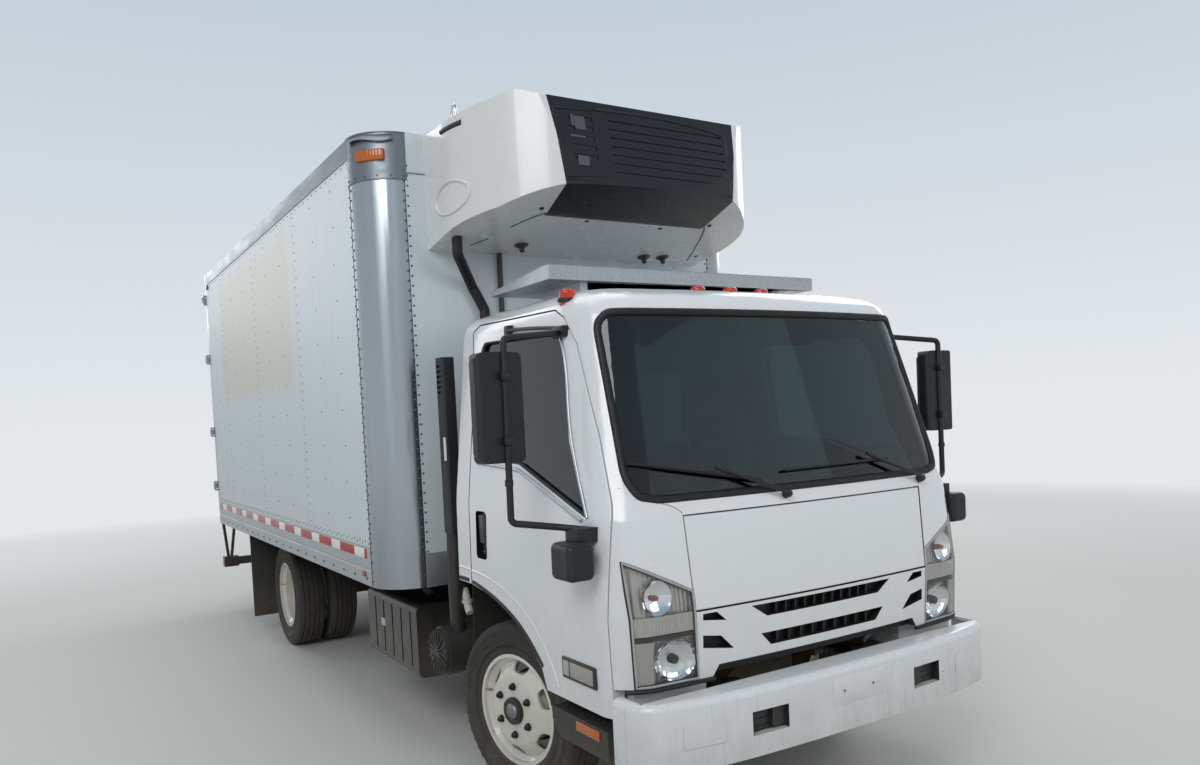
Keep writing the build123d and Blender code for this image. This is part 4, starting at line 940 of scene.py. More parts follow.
# Wheels
# Welded steel disc wheels in cream-white enamel, with nuts on studs, a dark hub ring under a grey dust cap,
# and a capped brass valve. Rust bleeds from the hand holes and the nuts.
def rusty(material, low=0.62, high=0.72, scale=26.0):
    """Let rust come through a finish in patches."""
    tree, tone, socket, spot = opened(material)
    patch = add_node(tree, "TexNoise", {"Vector": spot, "Scale": scale, "Detail": 7.0,
                                        "Roughness": 0.7}).outputs["Fac"]
    share = add_node(tree, "MapRange", {"Value": patch, "From Min": low, "From Max": high}).outputs["Result"]
    tone = add_node(tree, "Mix", {0: share, 6: tone, 7: linear("#6B4327")}, data_type="RGBA").outputs[2]
    tree.links.new(tone, socket)
    return material


wheel_white = rusty(enamel("cream wheel enamel", "#D9D6CC", "#7E7464", 0.26, 0.45, 0.0, 0.9, 0.6), 0.66, 0.74)
nut_steel = rusty(new_metal("dull wheel nut steel", "#3C3A37", 0.5), 0.55, 0.7)
hub_black = moulded("black painted hub", "#141415", 0.5, 2.0, "#675E50", 0.5, 0.0, 0.9)
cap_grey = new_metal("pressed dust cap", "#8D8E8E", 0.38)
brass = new_metal("valve brass", "#A08A52", 0.4)
NUTS, NUT_CIRCLE = 6, 0.111
for side, hand, end, plural in ROAD_WHEELS:
    node, body = end + "_rim" + plural + "_" + hand, end + "_wheel" + plural + "_" + hand
    low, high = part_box(node.replace("rim", "tyre"))
    centre = (low + high) / 2
    axis = (Vector((1, 0, 0)) if plural else Vector((math.cos(STEER), math.sin(STEER), 0))) * side
    rim = rounded(node, wheel_white, 0.0025, "wheel_paint", 2, 30)
    bpy.context.view_layer.update()
    outside = centre + axis * 0.4
    moves = []
    for k in range(NUTS):
        spot, normal = onto(rim, outside + spoke(axis, math.tau * (k + 0.5) / NUTS) * NUT_CIRCLE, -axis)
        moves.append(facing(spot - axis * 0.002, axis))
    nut = spun("nut", [(0.0075, 0.021), (0.012, 0.020), (0.0155, 0.016), (0.0165, 0.006), (0.020, 0.004),
                       (0.020, 0.0)], steps=6, flat=True)
    stud = spun("stud", [(0.0, 0.028), (0.006, 0.027), (0.0075, 0.025), (0.0075, 0.0)], steps=12)
    dress(copies("wheel_nuts_" + body, joined("nut", [nut, stud]), moves), body, nut_steel, "wheel_paint")
    spot, normal = onto(rim, outside + axis.cross(UP) * 0.030, -axis)
    hub = centre + axis * (spot - centre).dot(axis)
    ring = spun("hub_ring_" + body, [(0.040, 0.007), (0.052, 0.007), (0.060, 0.004), (0.0615, -0.004),
                                     (0.0615, -0.014)], hub, axis, 40)
    dress(ring, body, hub_black, "wheel_paint")
    cap = spun("dust_cap_" + body, [(0.0, 0.015), (0.016, 0.0148), (0.030, 0.012), (0.036, 0.008),
                                    (0.0385, 0.002), (0.0385, -0.004)], hub, axis, 40)
    dress(cap, body, cap_grey, "wheel_paint")
    out = spoke(axis, 0.22)
    spot, normal = onto(rim, outside + out * 0.222, -axis)
    valve = tube("valve_" + body, [spot + axis * rise + out * away for rise, away in (
        (-0.01, 0), (0.012, 0), (0.022, 0.010), (0.024, 0.022))], 0.0045)
    dress(valve, body, brass, "wheel_paint")


# Cooling unit
# A glass-fibre shell with a smooth white gelcoat on a steel frame bolted to the body's nose, and a black
# moulded front with louvres. Quarter-turn fasteners hold its belly pan, and its water runs off by spigots.
gelcoat = enamel("white gelcoat", "#DCDDDC", "#C4C1B8", 0.24, 0.4, 0.3, 1.3, 0.05)
louvre_black = moulded("black louvred moulding", "#080A10", 0.30, 1.6, "#3A3C44", 0.12, 2.7, 3.4)
unit = rounded("refrigeration_unit", gelcoat, 0.009, "unit_shell", 3)
unit_front = rounded("unit_panel", louvre_black, 0.0015, "black_plastic")
loop_chrome = new_metal("chromed lifting loop", "#C9CCCE", 0.15)
bpy.context.view_layer.update()
for side, hand in SIDES:
    # A raised oval moulded in each side, and by the lifting loop a black tube sunk into the top edge, as
    # painted shade for the hollow of the hand hold
    turns = [math.tau * k / 40 for k in range(41)]
    oval = [on_side(side, 0.500 + 0.165 * math.cos(a), 2.857 + 0.078 * math.sin(a), unit, 0.001)
            for a in turns]
    dress(tube("unit_ring_" + hand, oval, 0.0085, smooth=False), "root", gelcoat, "unit_shell")
    pocket = [on_side(side, y, 3.196, unit, -0.008) for y in (0.370, 0.420, 0.470, 0.520, 0.560)]
    dress(tube("unit_lift_pocket_shade_" + hand, pocket, 0.017), "root", louvre_black, "black_plastic")
    depth = abs(on_side(side, 0.44, 3.190, unit).x) - 0.012
    loop = ((0.415, 3.20), (0.415, 3.262), (0.425, 3.300), (0.442, 3.304), (0.458, 3.298), (0.466, 3.262),
            (0.466, 3.20))
    loop = tube("unit_lift_loop_" + hand, [place(side * depth, y, z) for y, z in loop], 0.0075)
    dress(loop, "root", loop_chrome, "bright_aluminium")


def on_belly(x, y, out=0.0):
    """A point on the unit's underside."""
    spot, normal = onto(unit, place(x, y, 1.8), (0, 0, 1))
    return spot + normal * out, normal


moves = [facing(*on_belly(x, y, -0.0005)) for x, y in (
    (-0.542, 0.171), (-0.228, 0.264), (0.251, 0.281), (0.522, 0.187), (-0.780, 0.640), (0.780, 0.640))]
screw = spun("screw", [(0.0035, 0.0015), (0.004, 0.004), (0.011, 0.0035), (0.0125, 0.001), (0.0125, -0.001)],
             steps=14)
dress(copies("unit_fasteners", screw, moves), "root", black_plastic, "black_plastic")
seams = []
for line in (((0.501, 0.207), (0.570, 0.300), (0.650, 0.472), (0.720, 0.600), (0.768, 0.715)),
             ((-0.638, 0.586), (-0.665, 0.640), (-0.691, 0.697)),
             ((-0.501, 0.207), (-0.560, 0.300), (-0.590, 0.420))):
    seams.append(tube("seam", [on_belly(x, y, -0.0006)[0] for x, y in line], 0.004, sides=1))
dress(joined("unit_belly_seams", seams), "root", sealer, "black_plastic")
SPIGOT = ((0.010, 0.040), (0.014, 0.038), (0.014, 0.016), (0.026, 0.014), (0.030, 0.008), (0.038, 0.006),
          (0.040, -0.004))
spigots = [spun("spigot", SPIGOT, *on_belly(x, y), 24, 0.002)
           for x, y in ((-0.416, 0.644), (0.430, 0.700), (0.560, 0.690))]
dress(joined("unit_spigots", spigots), "root", new_metal("grey spigot fitting", "#55575A", 0.5), "steel")
# The control window: a display and a key block behind clear plastic, with nothing written on them
display = moulded("grey display bezel", "#4B4E53", 0.3, 2.0, "#6A6A6A", 0.1)
TILES = ((-0.405, 3.140, 0.060, 0.070), (-0.445, 3.150, 0.016, 0.060), (-0.425, 3.075, 0.085, 0.014),
         (-0.415, 2.950, 0.062, 0.046))
tiles = []
for x, z, wide, high in TILES:
    spot, normal = front_hit(x, z, unit_front)
    tile = block("tile", (-wide / 2, -high / 2, -0.004), (wide / 2, high / 2, 0.0035), 0.0012, 1,
                 on_drawing=False)
    across = Vector((1, 0, 0))
    rows = Matrix((across, normal.cross(across), normal)).transposed().to_4x4()
    tile.data.transform(Matrix.Translation(spot) @ rows)
    tiles.append(tile)
dress(joined("unit_control_tiles", tiles), "root", display, "dark_plastic")
window = [on_front(x, z, unit_front, 0.001) for x, z in ((-0.545, 3.200), (-0.330, 3.215), (-0.305, 2.885),
                                                         (-0.505, 2.870), (-0.545, 3.200))]
dress(tube("unit_window_bead", window, 0.0035, smooth=False), "root", louvre_black, "black_plastic")
# Raised ribs along the top, the left edge and the foot of the front
ribs = [tube("rib", [on_front(x, z, unit_front) for x, z in line], 0.006) for line in (
    ((-0.315, 3.222), (0.0, 3.235), (0.30, 3.222), (0.470, 3.196), (0.500, 3.180)),
    ((0.500, 3.180), (0.506, 3.060), (0.502, 2.900), (0.500, 2.865)),
    ((-0.495, 2.862), (0.0, 2.868), (0.500, 2.862)))]
dress(joined("unit_panel_ribs", ribs), "root", louvre_black, "black_plastic")

# Drain hose and refrigerant line: ribbed black rubber held by clips down the nose
hose_rubber = moulded("ribbed hose rubber", "#101114", 0.55, 4.0, "#6C6860", 0.25, 0.9, 2.4, 0.7)
hose = rounded("drain_hose", hose_rubber, 0.0015, "black_plastic")
# The slim line beside the hose is lagged in grey-brown foam
LINE_X, LINE_FRONT = -0.500, place(0, 0.775, 0).y
lagging = moulded("grey-brown line lagging", "#4A4540", 0.6, 3.0, "#7C766C", 0.25, 0.9, 2.4)
faced(hose, lagging, lambda face: face.center.x > LINE_X)
for vertex in hose.data.vertices:
    if vertex.co.x > LINE_X and vertex.co.y < LINE_FRONT:
        vertex.co.y += 0.030


# Service platform
# A folded tray of aluminium tread plate over the cab roof, on two legs, with its pattern pressed up.
tread_alu = new_metal("aluminium tread plate", "#B4B7BA", 0.34, 0.10, "#6E6A62", 0.2)
rounded("service_platform", tread_alu, 0.0012, "bright_aluminium")
bpy.context.view_layer.update()
# Rows of raised lozenges, turned by turns, over the tray and up its front edge
APART, ACROSS = 0.030, 52
moves = []
for j in range(21):
    for k in range(ACROSS):
        slant = Matrix.Rotation(math.radians(45 if (j + k) % 2 else -45), 4, "Z")
        if j < 19:
            spot = place(-0.765 + APART * k, -0.290 + APART * j, 2.3411)
        else:
            spot = place(-0.765 + APART * k, -0.3061, 2.352 + 0.028 * (j - 19))
            slant = Matrix.Rotation(math.radians(90), 4, "X") @ Matrix.Rotation(
                math.radians(45 if (j - 19 + k) % 2 else -45), 4, "Z")
        moves.append(Matrix.Translation(spot) @ slant)
bpy.ops.mesh.primitive_circle_add(vertices=4, radius=0.0135, fill_type="NGON")
lozenge = bpy.context.object
edit()
bpy.ops.transform.resize(value=(1, 0.30, 1))
bpy.ops.mesh.extrude_region_move(TRANSFORM_OT_translate={"value": (0, 0, 0.0012)})
bpy.ops.transform.resize(value=(0.75, 0.5, 1))
bpy.ops.mesh.select_all(action="SELECT")
bpy.ops.mesh.normals_make_consistent(inside=False)
leave_edit()
dress(copies("platform_tread", lozenge, moves), "cab", tread_alu, "bright_aluminium")
RIM_X, RIM_SIDE = 0.787, ((0.280, 2.352), (-0.240, 2.396), (-0.303, 2.396))
rims = [[place(x, *RIM_SIDE[-1]) for x in (-RIM_X, RIM_X)]]
rims += [[place(side * RIM_X, y, z) for y, z in RIM_SIDE] for side in (-1, 1)]
rims = [tube("rim", line, 0.004, smooth=False) for line in rims]
dress(joined("platform_rims", rims), "cab", tread_alu, "bright_aluminium")


# Insulated body
# Pre-painted aluminium sheets, riveted to posts every 17 inches or so and to the rails, over foam. Polished
# aluminium wraps the front corners. A patch on the right side has weathered to beige.
def sheet_paint(name, patch=None):
    """Smooth coil-coated sheet, faintly wavy, with rain streaks and if asked a weathered patch."""
    material, tree, shader, spot = new_finish(name)
    tone = stained(tree, spot, "#CFD8DC", "#9B968A", 0.9, 1.9, 5.0, 0.30)
    drawn = add_node(tree, "Mapping", {"Vector": spot, "Scale": (9.0, 9.0, 0.35)}).outputs[0]
    rain = add_node(tree, "TexNoise", {"Vector": drawn, "Scale": 1.0, "Detail": 6.0}).outputs["Fac"]
    rain = add_node(tree, "MapRange", {"Value": rain, "From Min": 0.5, "From Max": 0.8, "To Max": 0.16})
    tone = add_node(tree, "Mix", {0: rain.outputs["Result"], 6: tone, 7: linear("#A7A79F")},
                    data_type="RGBA").outputs[2]
    if patch:
        axes = add_node(tree, "SeparateXYZ", {0: spot})
        ragged = add_node(tree, "TexNoise", {"Vector": spot, "Scale": 3.0, "Detail": 4.0}).outputs["Fac"]
        share = 0.62
        for axis, low, high in patch:
            wobble = add_node(tree, "Math", {0: ragged, 1: 0.06, 2: axes.outputs[axis]},
                              operation="MULTIPLY_ADD")
            for edge, soft in ((low, 0.16), (high, -0.16)):
                inside = add_node(tree, "MapRange", {"Value": wobble.outputs[0], "From Min": edge,
                                                     "From Max": edge + soft}).outputs["Result"]
                share = add_node(tree, "Math", {0: share, 1: inside}, operation="MULTIPLY").outputs[0]
        tone = add_node(tree, "Mix", {0: share, 6: tone, 7: linear("#CFC8B6")}, data_type="RGBA").outputs[2]
    # Riveted sheet is never quite flat: waves about 400 mm long
    wave = add_node(tree, "TexNoise", {"Vector": spot, "Scale": 2.5, "Detail": 1.0}).outputs["Fac"]
    bump = add_node(tree, "Bump", {"Height": wave, "Strength": 0.25, "Distance": 0.006})
    wire(tree, shader, {"Base Color": tone, "Roughness": 0.5, "Specular IOR Level": 0.35,
                        "Normal": bump.outputs[0]})
    return material


sheet = sheet_paint("coil-coated aluminium sheet")
for node in ("box_wall_left", "box_front_wall", "box_roof", "evaporator"):
    finish(node, sheet)
WEATHERED = (("Y", place(0, 2.40, 0).y, place(0, 5.10, 0).y), ("Z", 1.98, 3.16))
finish("box_wall_right", sheet_paint("weathered coil-coated sheet", WEATHERED))
mill_alu = new_metal("mill-finish aluminium rail", "#8F9498", 0.52, 0.08, "#6B675E", 0.35, (1, 0.2, 1))
polished = new_metal("polished aluminium corner", "#A2A8AD", 0.27, 0.16, "#77736A", 0.35, (9, 9, 0.25), 1.6)
brushed = new_metal("brushed stainless corner cap", "#7D8287", 0.42, 0.10, "#55524B", 0.5, (1, 1, 6), 9.0)
rounded("corner_posts", polished, 0.0015, "bright_aluminium")
rail_alu = new_metal("bright extruded floor rail", "#B3B7B9", 0.58, 0.08, "#7B766B", 0.3, (1, 0.2, 1))
rounded("bottom_rails", rail_alu, 0.002, "bright_aluminium")
finish("box_floor", new_metal("ribbed aluminium floor", "#8F9294", 0.45, 0.1, "#5C574E", 0.4, (1, 0.1, 1)))
tape = moulded("retro-reflective tape", "#E8E6E2", 0.3, 3.0, "#8F897D", 0.2)
# Red blocks 280 mm long, every 460 mm
tree, tone, socket, spot = opened(tape)
along = add_node(tree, "SeparateXYZ", {0: spot}).outputs["Y"]
along = add_node(tree, "Math", {0: along, 1: 0.46}, operation="FLOORED_MODULO").outputs[0]
red = add_node(tree, "Math", {0: along, 1: 0.28}, operation="LESS_THAN").outputs[0]
tone = add_node(tree, "Mix", {0: red, 6: tone, 7: linear("#A81E22")}, data_type="RGBA").outputs[2]
tree.links.new(tone, socket)
# Dark grey rivet heads: their dark tone is partly dirt and partly painted shade round their edges
rivet_steel = new_metal("weathered rivet heads", "#6C7073", 0.55, 0.1, "#4C4A45", 0.5)
amber_block = fluted("amber polycarbonate", "#D9701A", 6, 0.3, 0.4, 0.15)
red_block = fluted("red polycarbonate", "#A3120F", 6, 0.25, 0.4, 0.15)
BODY_HALF, BODY_FRONT, POST_END, BODY_END = 1.219, 0.808, 1.031, 5.626


def wrapped(name, plan, low, high, wall):
    """A thin upright sheet that follows a plan of (x, y) points between two heights."""
    bpy.ops.mesh.primitive_plane_add(size=0.01, location=(0, 0, 0))
    piece = bpy.context.object
    piece.name = name
    edit()
    bpy.ops.mesh.select_mode(type="VERT")
    bpy.ops.mesh.select_all(action="SELECT")
    bpy.ops.mesh.merge(type="CENTER")
    spots = [place(x, y, low) for x, y in plan]
    bpy.ops.transform.translate(value=spots[0])
    for before, after in zip(spots, spots[1:]):
        bpy.ops.mesh.extrude_region_move(TRANSFORM_OT_translate={"value": after - before})
    bpy.ops.mesh.select_all(action="SELECT")
    bpy.ops.mesh.extrude_region_move(TRANSFORM_OT_translate={"value": (0, 0, high - low)})
    leave_edit()
    if wall:
        modify(piece, "SOLIDIFY", thickness=wall, offset=0)
    return shade(piece)


POST_X, RADIUS, STEP = 0.996, 0.223, 0.052


def corner_plan(radius, degrees):
    """Places round the front corner, at some angles from its side and at some distance from its middle."""
    turns = [math.radians(angle) for angle in degrees]
    return [(POST_X + radius * math.cos(a), POST_END - radius * math.sin(a)) for a in turns]


for side, hand in SIDES:
    spots = []
    for k in range(10):
        y = 1.385 + 0.4365 * k
        if k % 3 == 2:
            spots += [(y + (0.013 if j % 2 else -0.013), 1.14 + 0.056 * j) for j in range(36)]
        else:
            spots += [(y + (0.010 if j % 2 else -0.010), 1.22 + 0.205 * j) for j in range(10)]
    spots += [(1.060 + 0.0505 * k, 1.100 + (0.012 if k % 2 else 0.0)) for k in range(90)]
    spots += [(1.060 + 0.101 * k, 3.128) for k in range(45)]
    spots += [(1.048, 1.13 + STEP * k) for k in range(39)]
    spots += [(1.016, 0.90 + STEP * k) for k in range(43)]
    moves = [facing(place(side * BODY_HALF, y, z), (side, 0, 0)) for y, z in spots]
    moves += [facing(place(side * x, BODY_FRONT, z + STEP * k), (0, -1, 0)) for k in range(43)
              for x, z in ((0.982, 0.90), (1.004, 0.926))]
    rivet = spun("rivet", [(0.0, 0.0026), (0.0042, 0.0020), (0.0070, -0.0002)], steps=8)
    dress(copies("body_rivets_" + hand, rivet, moves), "root", rivet_steel, "body_panel")
    for name, x0, x1, y0, y1, z0, z1, rounding, material, slot in (
            ("reflective_tape_", -0.001, 0.0005, 1.10, 5.60, 1.014, 1.066, 0.0003, tape, "body_panel"),
            ("side_reflector_", -0.002, 0.006, 1.135, 1.195, 0.912, 0.942, 0.003, red_block, "amber_lens"),
            ("side_marker_", 0.0, 0.018, 5.50, 5.59, 3.105, 3.137, 0.005, red_block, "amber_lens")):
        strip = beside(name + hand, side, BODY_HALF + x0, BODY_HALF + x1, y0, y1, z0, z1, rounding)
        dress(strip, "root", material, slot)
    bolts = [facing(place(side * (BODY_HALF + 0.0001), 1.12 + 0.2162 * k, 0.905), (side, 0, 0))
             for k in range(21)]
    dress(copies("rail_bolts_" + hand, bolt(0.006, 0.005), bolts), "root", rivet_steel, "steel")
    rail = beside("roof_rail_" + hand, side, BODY_HALF - 0.004, BODY_HALF + 0.0045, POST_END, BODY_END,
                  3.150, 3.252, 0.002)
    drip = tube("drip", [place(side * (BODY_HALF + 0.002), y, 3.152) for y in (POST_END, BODY_END)], 0.0035,
                smooth=False)
    dress(joined("roof_rail_" + hand, [rail, drip]), "root", mill_alu, "bright_aluminium")
    laps = [tube("lap", [place(side * x, y, z) for z in (0.868, 3.165)], 0.0022, smooth=False, sides=1)
            for x, y in ((BODY_HALF, POST_END), (POST_X, BODY_FRONT))]
    dress(joined("post_laps_" + hand, laps), "root", sealer, "steel")
    # The marker lamp on the rounded corner
    (x, y), = corner_plan(RADIUS, [45])
    out = Vector((side * math.cos(math.radians(45)), -math.sin(math.radians(45)), 0))
    lamp = block("corner_marker_" + hand, (-0.080, -0.029, -0.016), (0.080, 0.029, 0.014), 0.006,
                 on_drawing=False)
    lamp.data.transform(Matrix.Translation(place(side * x, y, 3.135)) @ Matrix(
        (UP.cross(out), UP, out)).transposed().to_4x4())
    dress(lamp, "root", amber_block, "amber_lens")
    # A stainless cap wraps the corner above the post, riveted along its foot, its thin flashing bent out
    around = [9.0 * k for k in range(11)]
    plan = [(BODY_HALF + 0.0015, POST_END + 0.012), *corner_plan(RADIUS + 0.0015, around),
            (0.984, BODY_FRONT - 0.0015)]
    cap = wrapped("cap", [(side * x, y) for x, y in plan], 3.008, 3.254, 0.002)
    lips = [tube("lip", [place(side * x, y, z) for x, y in plan], radius, smooth=False)
            for z, radius in ((3.012, 0.0035), (3.252, 0.005))]
    dress(joined("corner_cap_" + hand, [cap, *lips]), "root", brushed, "bright_aluminium")
    plan = [(side * x, y) for x, y in corner_plan(RADIUS + 0.004, [7.0 * k for k in range(1, 12)])]
    flap = wrapped("corner_flashing_" + hand, plan, 3.205, 3.240, 0.0)
    centre = place(side * POST_X, POST_END, 0)
    for vertex in flap.data.vertices:
        if vertex.co.z < 3.22:
            out = Vector((vertex.co.x - centre.x, vertex.co.y - centre.y, 0)).normalized()
            share = abs(math.sin(3.0 * math.atan2(abs(out.y), abs(out.x))))
            vertex.co += out * (0.010 + 0.016 * share) + UP * (0.020 * (share - 0.5))
    dress(modify(flap, "SOLIDIFY", thickness=0.0012), "root", mill_alu, "bright_aluminium")
    fixings = []
    for angle, (x, y) in zip(around[::2], corner_plan(RADIUS + 0.0025, around[::2])):
        way = (side * math.cos(math.radians(angle)), -math.sin(math.radians(angle)), 0)
        fixings.append(facing(place(side * x, y, 3.030), way))
    dress(copies("corner_cap_rivets_" + hand, bolt(0.0045, 0.003), fixings), "root", rivet_steel, "steel")
kick = block("nose_kick_plate", (-0.992, 0.8035, 0.869), (0.992, 0.8085, 1.047), 0.0012)
seam = tube("seam", [place(x, 0.807, 3.047) for x in (-0.994, 0.994)], 0.004, smooth=False)
dress(joined("nose_trims", [kick, seam]), "root", mill_alu, "bright_aluminium")


# Rear doors and frame
# A brushed stainless frame holds two foam-filled leaves on strap hinges. Zinc-plated lock rods turn in
# keepers, rubber gaskets lap the leaves' edges, and the lamps stand in the frame's sill and header.
frame_steel = new_metal("brushed stainless rear frame", "#9B9EA0", 0.38, 0.1, "#6A6459", 0.4, (1, 1, 0.2))
zinc = rusty(new_metal("zinc-plated lock gear", "#A3A6A6", 0.42), 0.66, 0.76, 30)
finish("rear_frame", frame_steel)
DOOR_FACE = 5.697
HINGE_X, ROD_X = (1.030, 1.080, 1.130), (0.120, 0.480)
GEAR_FACE = 5.7245
for side, hand in SIDES:
    body = "cargo_door_" + hand
    leaf = rounded(body, sheet, 0.0012, "body_panel")
    gear = place(0, DOOR_FACE + 0.0018, 0).y
    faced(leaf, zinc, lambda face: face.center.y > gear or abs(face.center.x) > 1.172)
    corners = ((0.012, 1.098), (1.162, 1.098), (1.162, 3.148), (0.012, 3.148), (0.012, 1.098))
    corners = [place(side * x, DOOR_FACE + 0.0008, z) for x, z in corners]
    dress(tube("cargo_gasket_" + hand, corners, 0.0075, smooth=False, sides=2), body, rubber, "flap_rubber")
    moves = [facing(place(side * x, 5.704, z), (0, 1, 0)) for z in (1.230, 1.750, 2.450, 3.020)
             for x in HINGE_X]
    moves += [facing(place(side * (x + dx), GEAR_FACE, z), (0, 1, 0)) for x in ROD_X
              for z in (1.200, 1.700, 2.300, 3.050) for dx in (-0.016, 0.016)]
    dress(copies("door_bolts_" + hand, bolt(0.0055, 0.004), moves), body, zinc, "steel")
    # Cams at both ends of each lock rod, and its grip in a hasp
    cams = []
    for x in ROD_X:
        cams += [beside("cam", side, x - 0.030, x + 0.030, 5.700, GEAR_FACE, z - 0.010, z + 0.012, 0.004)
                 for z in (1.106, 3.142)]
        grip = [place(side * (x + dx), 5.7165, 1.452) for dx in (0.100, 0.170, 0.200)]
        cams.append(tube("grip", grip, 0.0085))
        cams.append(beside("hasp", side, x + 0.150, x + 0.186, 5.698, 5.7235, 1.424, 1.440, 0.003))
    dress(joined("lock_cams_" + hand, cams), body, zinc, "steel")
    # Tail lamps in the sill: stop and turn in red, reversing in clear, each in a rubber grommet
    for name, x, glass, slot in (("stop", 1.000, red_block, "amber_lens"),
                                 ("turn", 0.800, red_block, "amber_lens"),
                                 ("reverse", 0.600, turn_lens, "lamp_lens")):
        grommet = beside(name + "_grommet_" + hand, side, x - 0.088, x + 0.088, 5.684, 5.6925, 0.935, 1.015,
                         0.0039)
        dress(grommet, "root", rubber, "flap_rubber")
        lamp = beside(name + "_lamp_" + hand, side, x - 0.078, x + 0.078, 5.688, 5.699, 0.944, 1.006, 0.005)
        dress(lamp, "root", glass, slot)
heads = [block("head", (x - 0.040, 5.684, 3.190), (x + 0.040, 5.698, 3.216), 0.005)
         for x in (-1.120, -0.160, 0.0, 0.160, 1.120)]
dress(joined("header_markers", heads), "root", red_block, "amber_lens")


# Rear step bumper and mudflaps
# Black-painted channel with diagonal struts and rubber dock buffers; plain rubber flaps hang from a bar.
chassis_black = rusty(enamel("black chassis enamel", "#17181A", "#6E6455", 0.46, 0.1, 0.1, 1.2, 0.75),
                      0.66, 0.76, 9)
rounded("rear_bumper", chassis_black, 0.002, "chassis_paint")
flap_rubber = moulded("rubber flap sheet", "#17181A", 0.6, 3.0, "#7C7263", 0.7, 0.1, 0.9)
rounded("mudflaps", flap_rubber, 0.0015, "flap_rubber")
moves = [facing(place(side * x, 4.3745, 0.849), (0, 1, 0)) for side in (-1, 1)
         for x in (0.68, 0.82, 0.96, 1.10, 1.18)]
dress(copies("mudflap_bolts", bolt(0.008, 0.006), moves), "root", zinc, "steel")
buffers = [beside("buffer", side, 0.86, 1.02, 5.668, 5.684, 0.462, 0.514, 0.006) for side in (-1, 1)]
dress(joined("dock_buffers", buffers), "root", flap_rubber, "flap_rubber")


# Frame, axles and drive line
# Pressed steel channel rails and crossmembers in black chassis enamel, riveted up; forged axles, leaf
# springs and a tubular shaft, all dusty and rusting at the edges.
for node in ("frame_rails", "crossmembers", "cab_mount", "floor_beams"):
    finish(node, chassis_black)
forged = rusty(enamel("black axle paint over forged steel", "#1B1B1B", "#6E6253", 0.55, 0.0, 0.0, 1.0, 0.8),
               0.58, 0.72, 14)
for node in ("leaf_springs", "front_axle", "rear_axle", "driveshaft"):
    finish(node, forged)
cast = rusty(new_metal("dusty cast iron", "#3D3B38", 0.62, 0.08, "#6B6152", 0.6), 0.6, 0.74, 20)
for node in ("knuckle_left", "knuckle_right", "engine"):
    finish(node, cast)
finish("tie_rod", rusty(new_metal("dull forged steel", "#57544F", 0.5), 0.6, 0.72, 20))
finish("exhaust", rusty(new_metal("aluminised exhaust steel", "#7C7872", 0.5), 0.57, 0.7, 12))
arch_black = moulded("black arch lining", "#101113", 0.62, 1.8, "#6F675A", 0.75, 0.3, 1.1)
rounded("arch_liners", arch_black, 0.002, "black_plastic")
RAIL_FACE = 0.433
moves = []
for side, hand in SIDES:
    for k in range(44):
        high = place(side * 0.9, 1.05 + 0.215 * (k // 2), 0.760 if k % 2 else 0.640)
        spot, normal = onto(frame["nodes"]["frame_rails"], high, (-side, 0, 0))
        if abs(abs(spot.x) - RAIL_FACE) < 0.02:
            moves.append(facing(spot, (side, 0, 0)))
dress(copies("rail_rivets", bolt(0.009, 0.009), moves), "root", chassis_black, "chassis_paint")
# Brake and air lines clipped along the rails
lines = [tube("line", [place(side * 0.441, y, z + 0.003 * math.sin(3.1 * y))
                       for y in (0.6, 1.2, 1.9, 2.6, 3.1)], 0.0055)
         for side, z in ((-1, 0.700), (-1, 0.716), (1, 0.708))]
dress(joined("brake_lines", lines), "root", black_plastic, "chassis_paint")


# Fuel tank, battery box and steps
# A black ribbed steel tank on two straps with a locking cap, a moulded battery cover with a rubber catch,
# and black steps behind the bumper, studded for grip.
tank_black = rusty(enamel("black tank enamel", "#18191B", "#776C5B", 0.4, 0.2, 0.2, 0.9, 0.8), 0.70, 0.78, 12)
rounded("fuel_tank", tank_black, 0.003, "chassis_paint")
battery_black = moulded("black battery cover", "#141517", 0.5, 1.6, "#776D5E", 0.7, 0.2, 0.9)
rounded("battery_box", battery_black, 0.004, "black_plastic")
low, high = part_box("fuel_tank")
label = block("tank_label", low + Vector((-0.0012, 0.535, 0.205)), low + Vector((0.001, 0.600, 0.250)),
              0.0005, 1, on_drawing=False)
dress(label, "root", moulded("faded blank label", "#C6C3B4", 0.5, 3.0, "#8E8675", 0.5), "body_panel")
neck = spun("tank_cap", [(0.0, 0.046), (0.036, 0.045), (0.043, 0.038), (0.043, 0.014), (0.034, 0.012),
                         (0.034, -0.004)], (low.x + 0.15, low.y + 0.14, high.z - 0.002), (-0.35, 0, 1), 28)
dress(neck, "root", black_plastic, "chassis_paint")
step_plastic = moulded("studded black step plastic", "#15161A", 0.5, 1.4, "#7A7061", 0.6, 0.3, 0.7)
steps = rounded("corner_steps", step_plastic, 0.003, "black_plastic")
bpy.context.view_layer.update()
moves = []
for side, hand in SIDES:
    for y in (-0.86, -0.82, -0.78, -0.74, -0.70, -0.66, -0.62, -0.58, -0.54):
        for x in (0.790, 0.825, 0.860, 0.895, 0.930):
            spot, normal = onto(steps, place(side * x, y, 1.0), -UP)
            if normal.z > 0.9:
                moves.append(facing(spot, UP))
stud = spun("stud", [(0.0, 0.0035), (0.004, 0.0033), (0.0065, 0.0)], steps=10)
dress(copies("step_studs", stud, moves), "root", black_plastic, "black_plastic")
for side, hand in SIDES:
    reach = abs(on_side(side, -0.78, 0.505, steps).x)
    lamp = beside("step_reflector_" + hand, side, reach - 0.002, reach + 0.005, -0.87, -0.70, 0.505, 0.545,
                  0.0024)
    dress(lamp, "root", amber_block, "amber_lens")


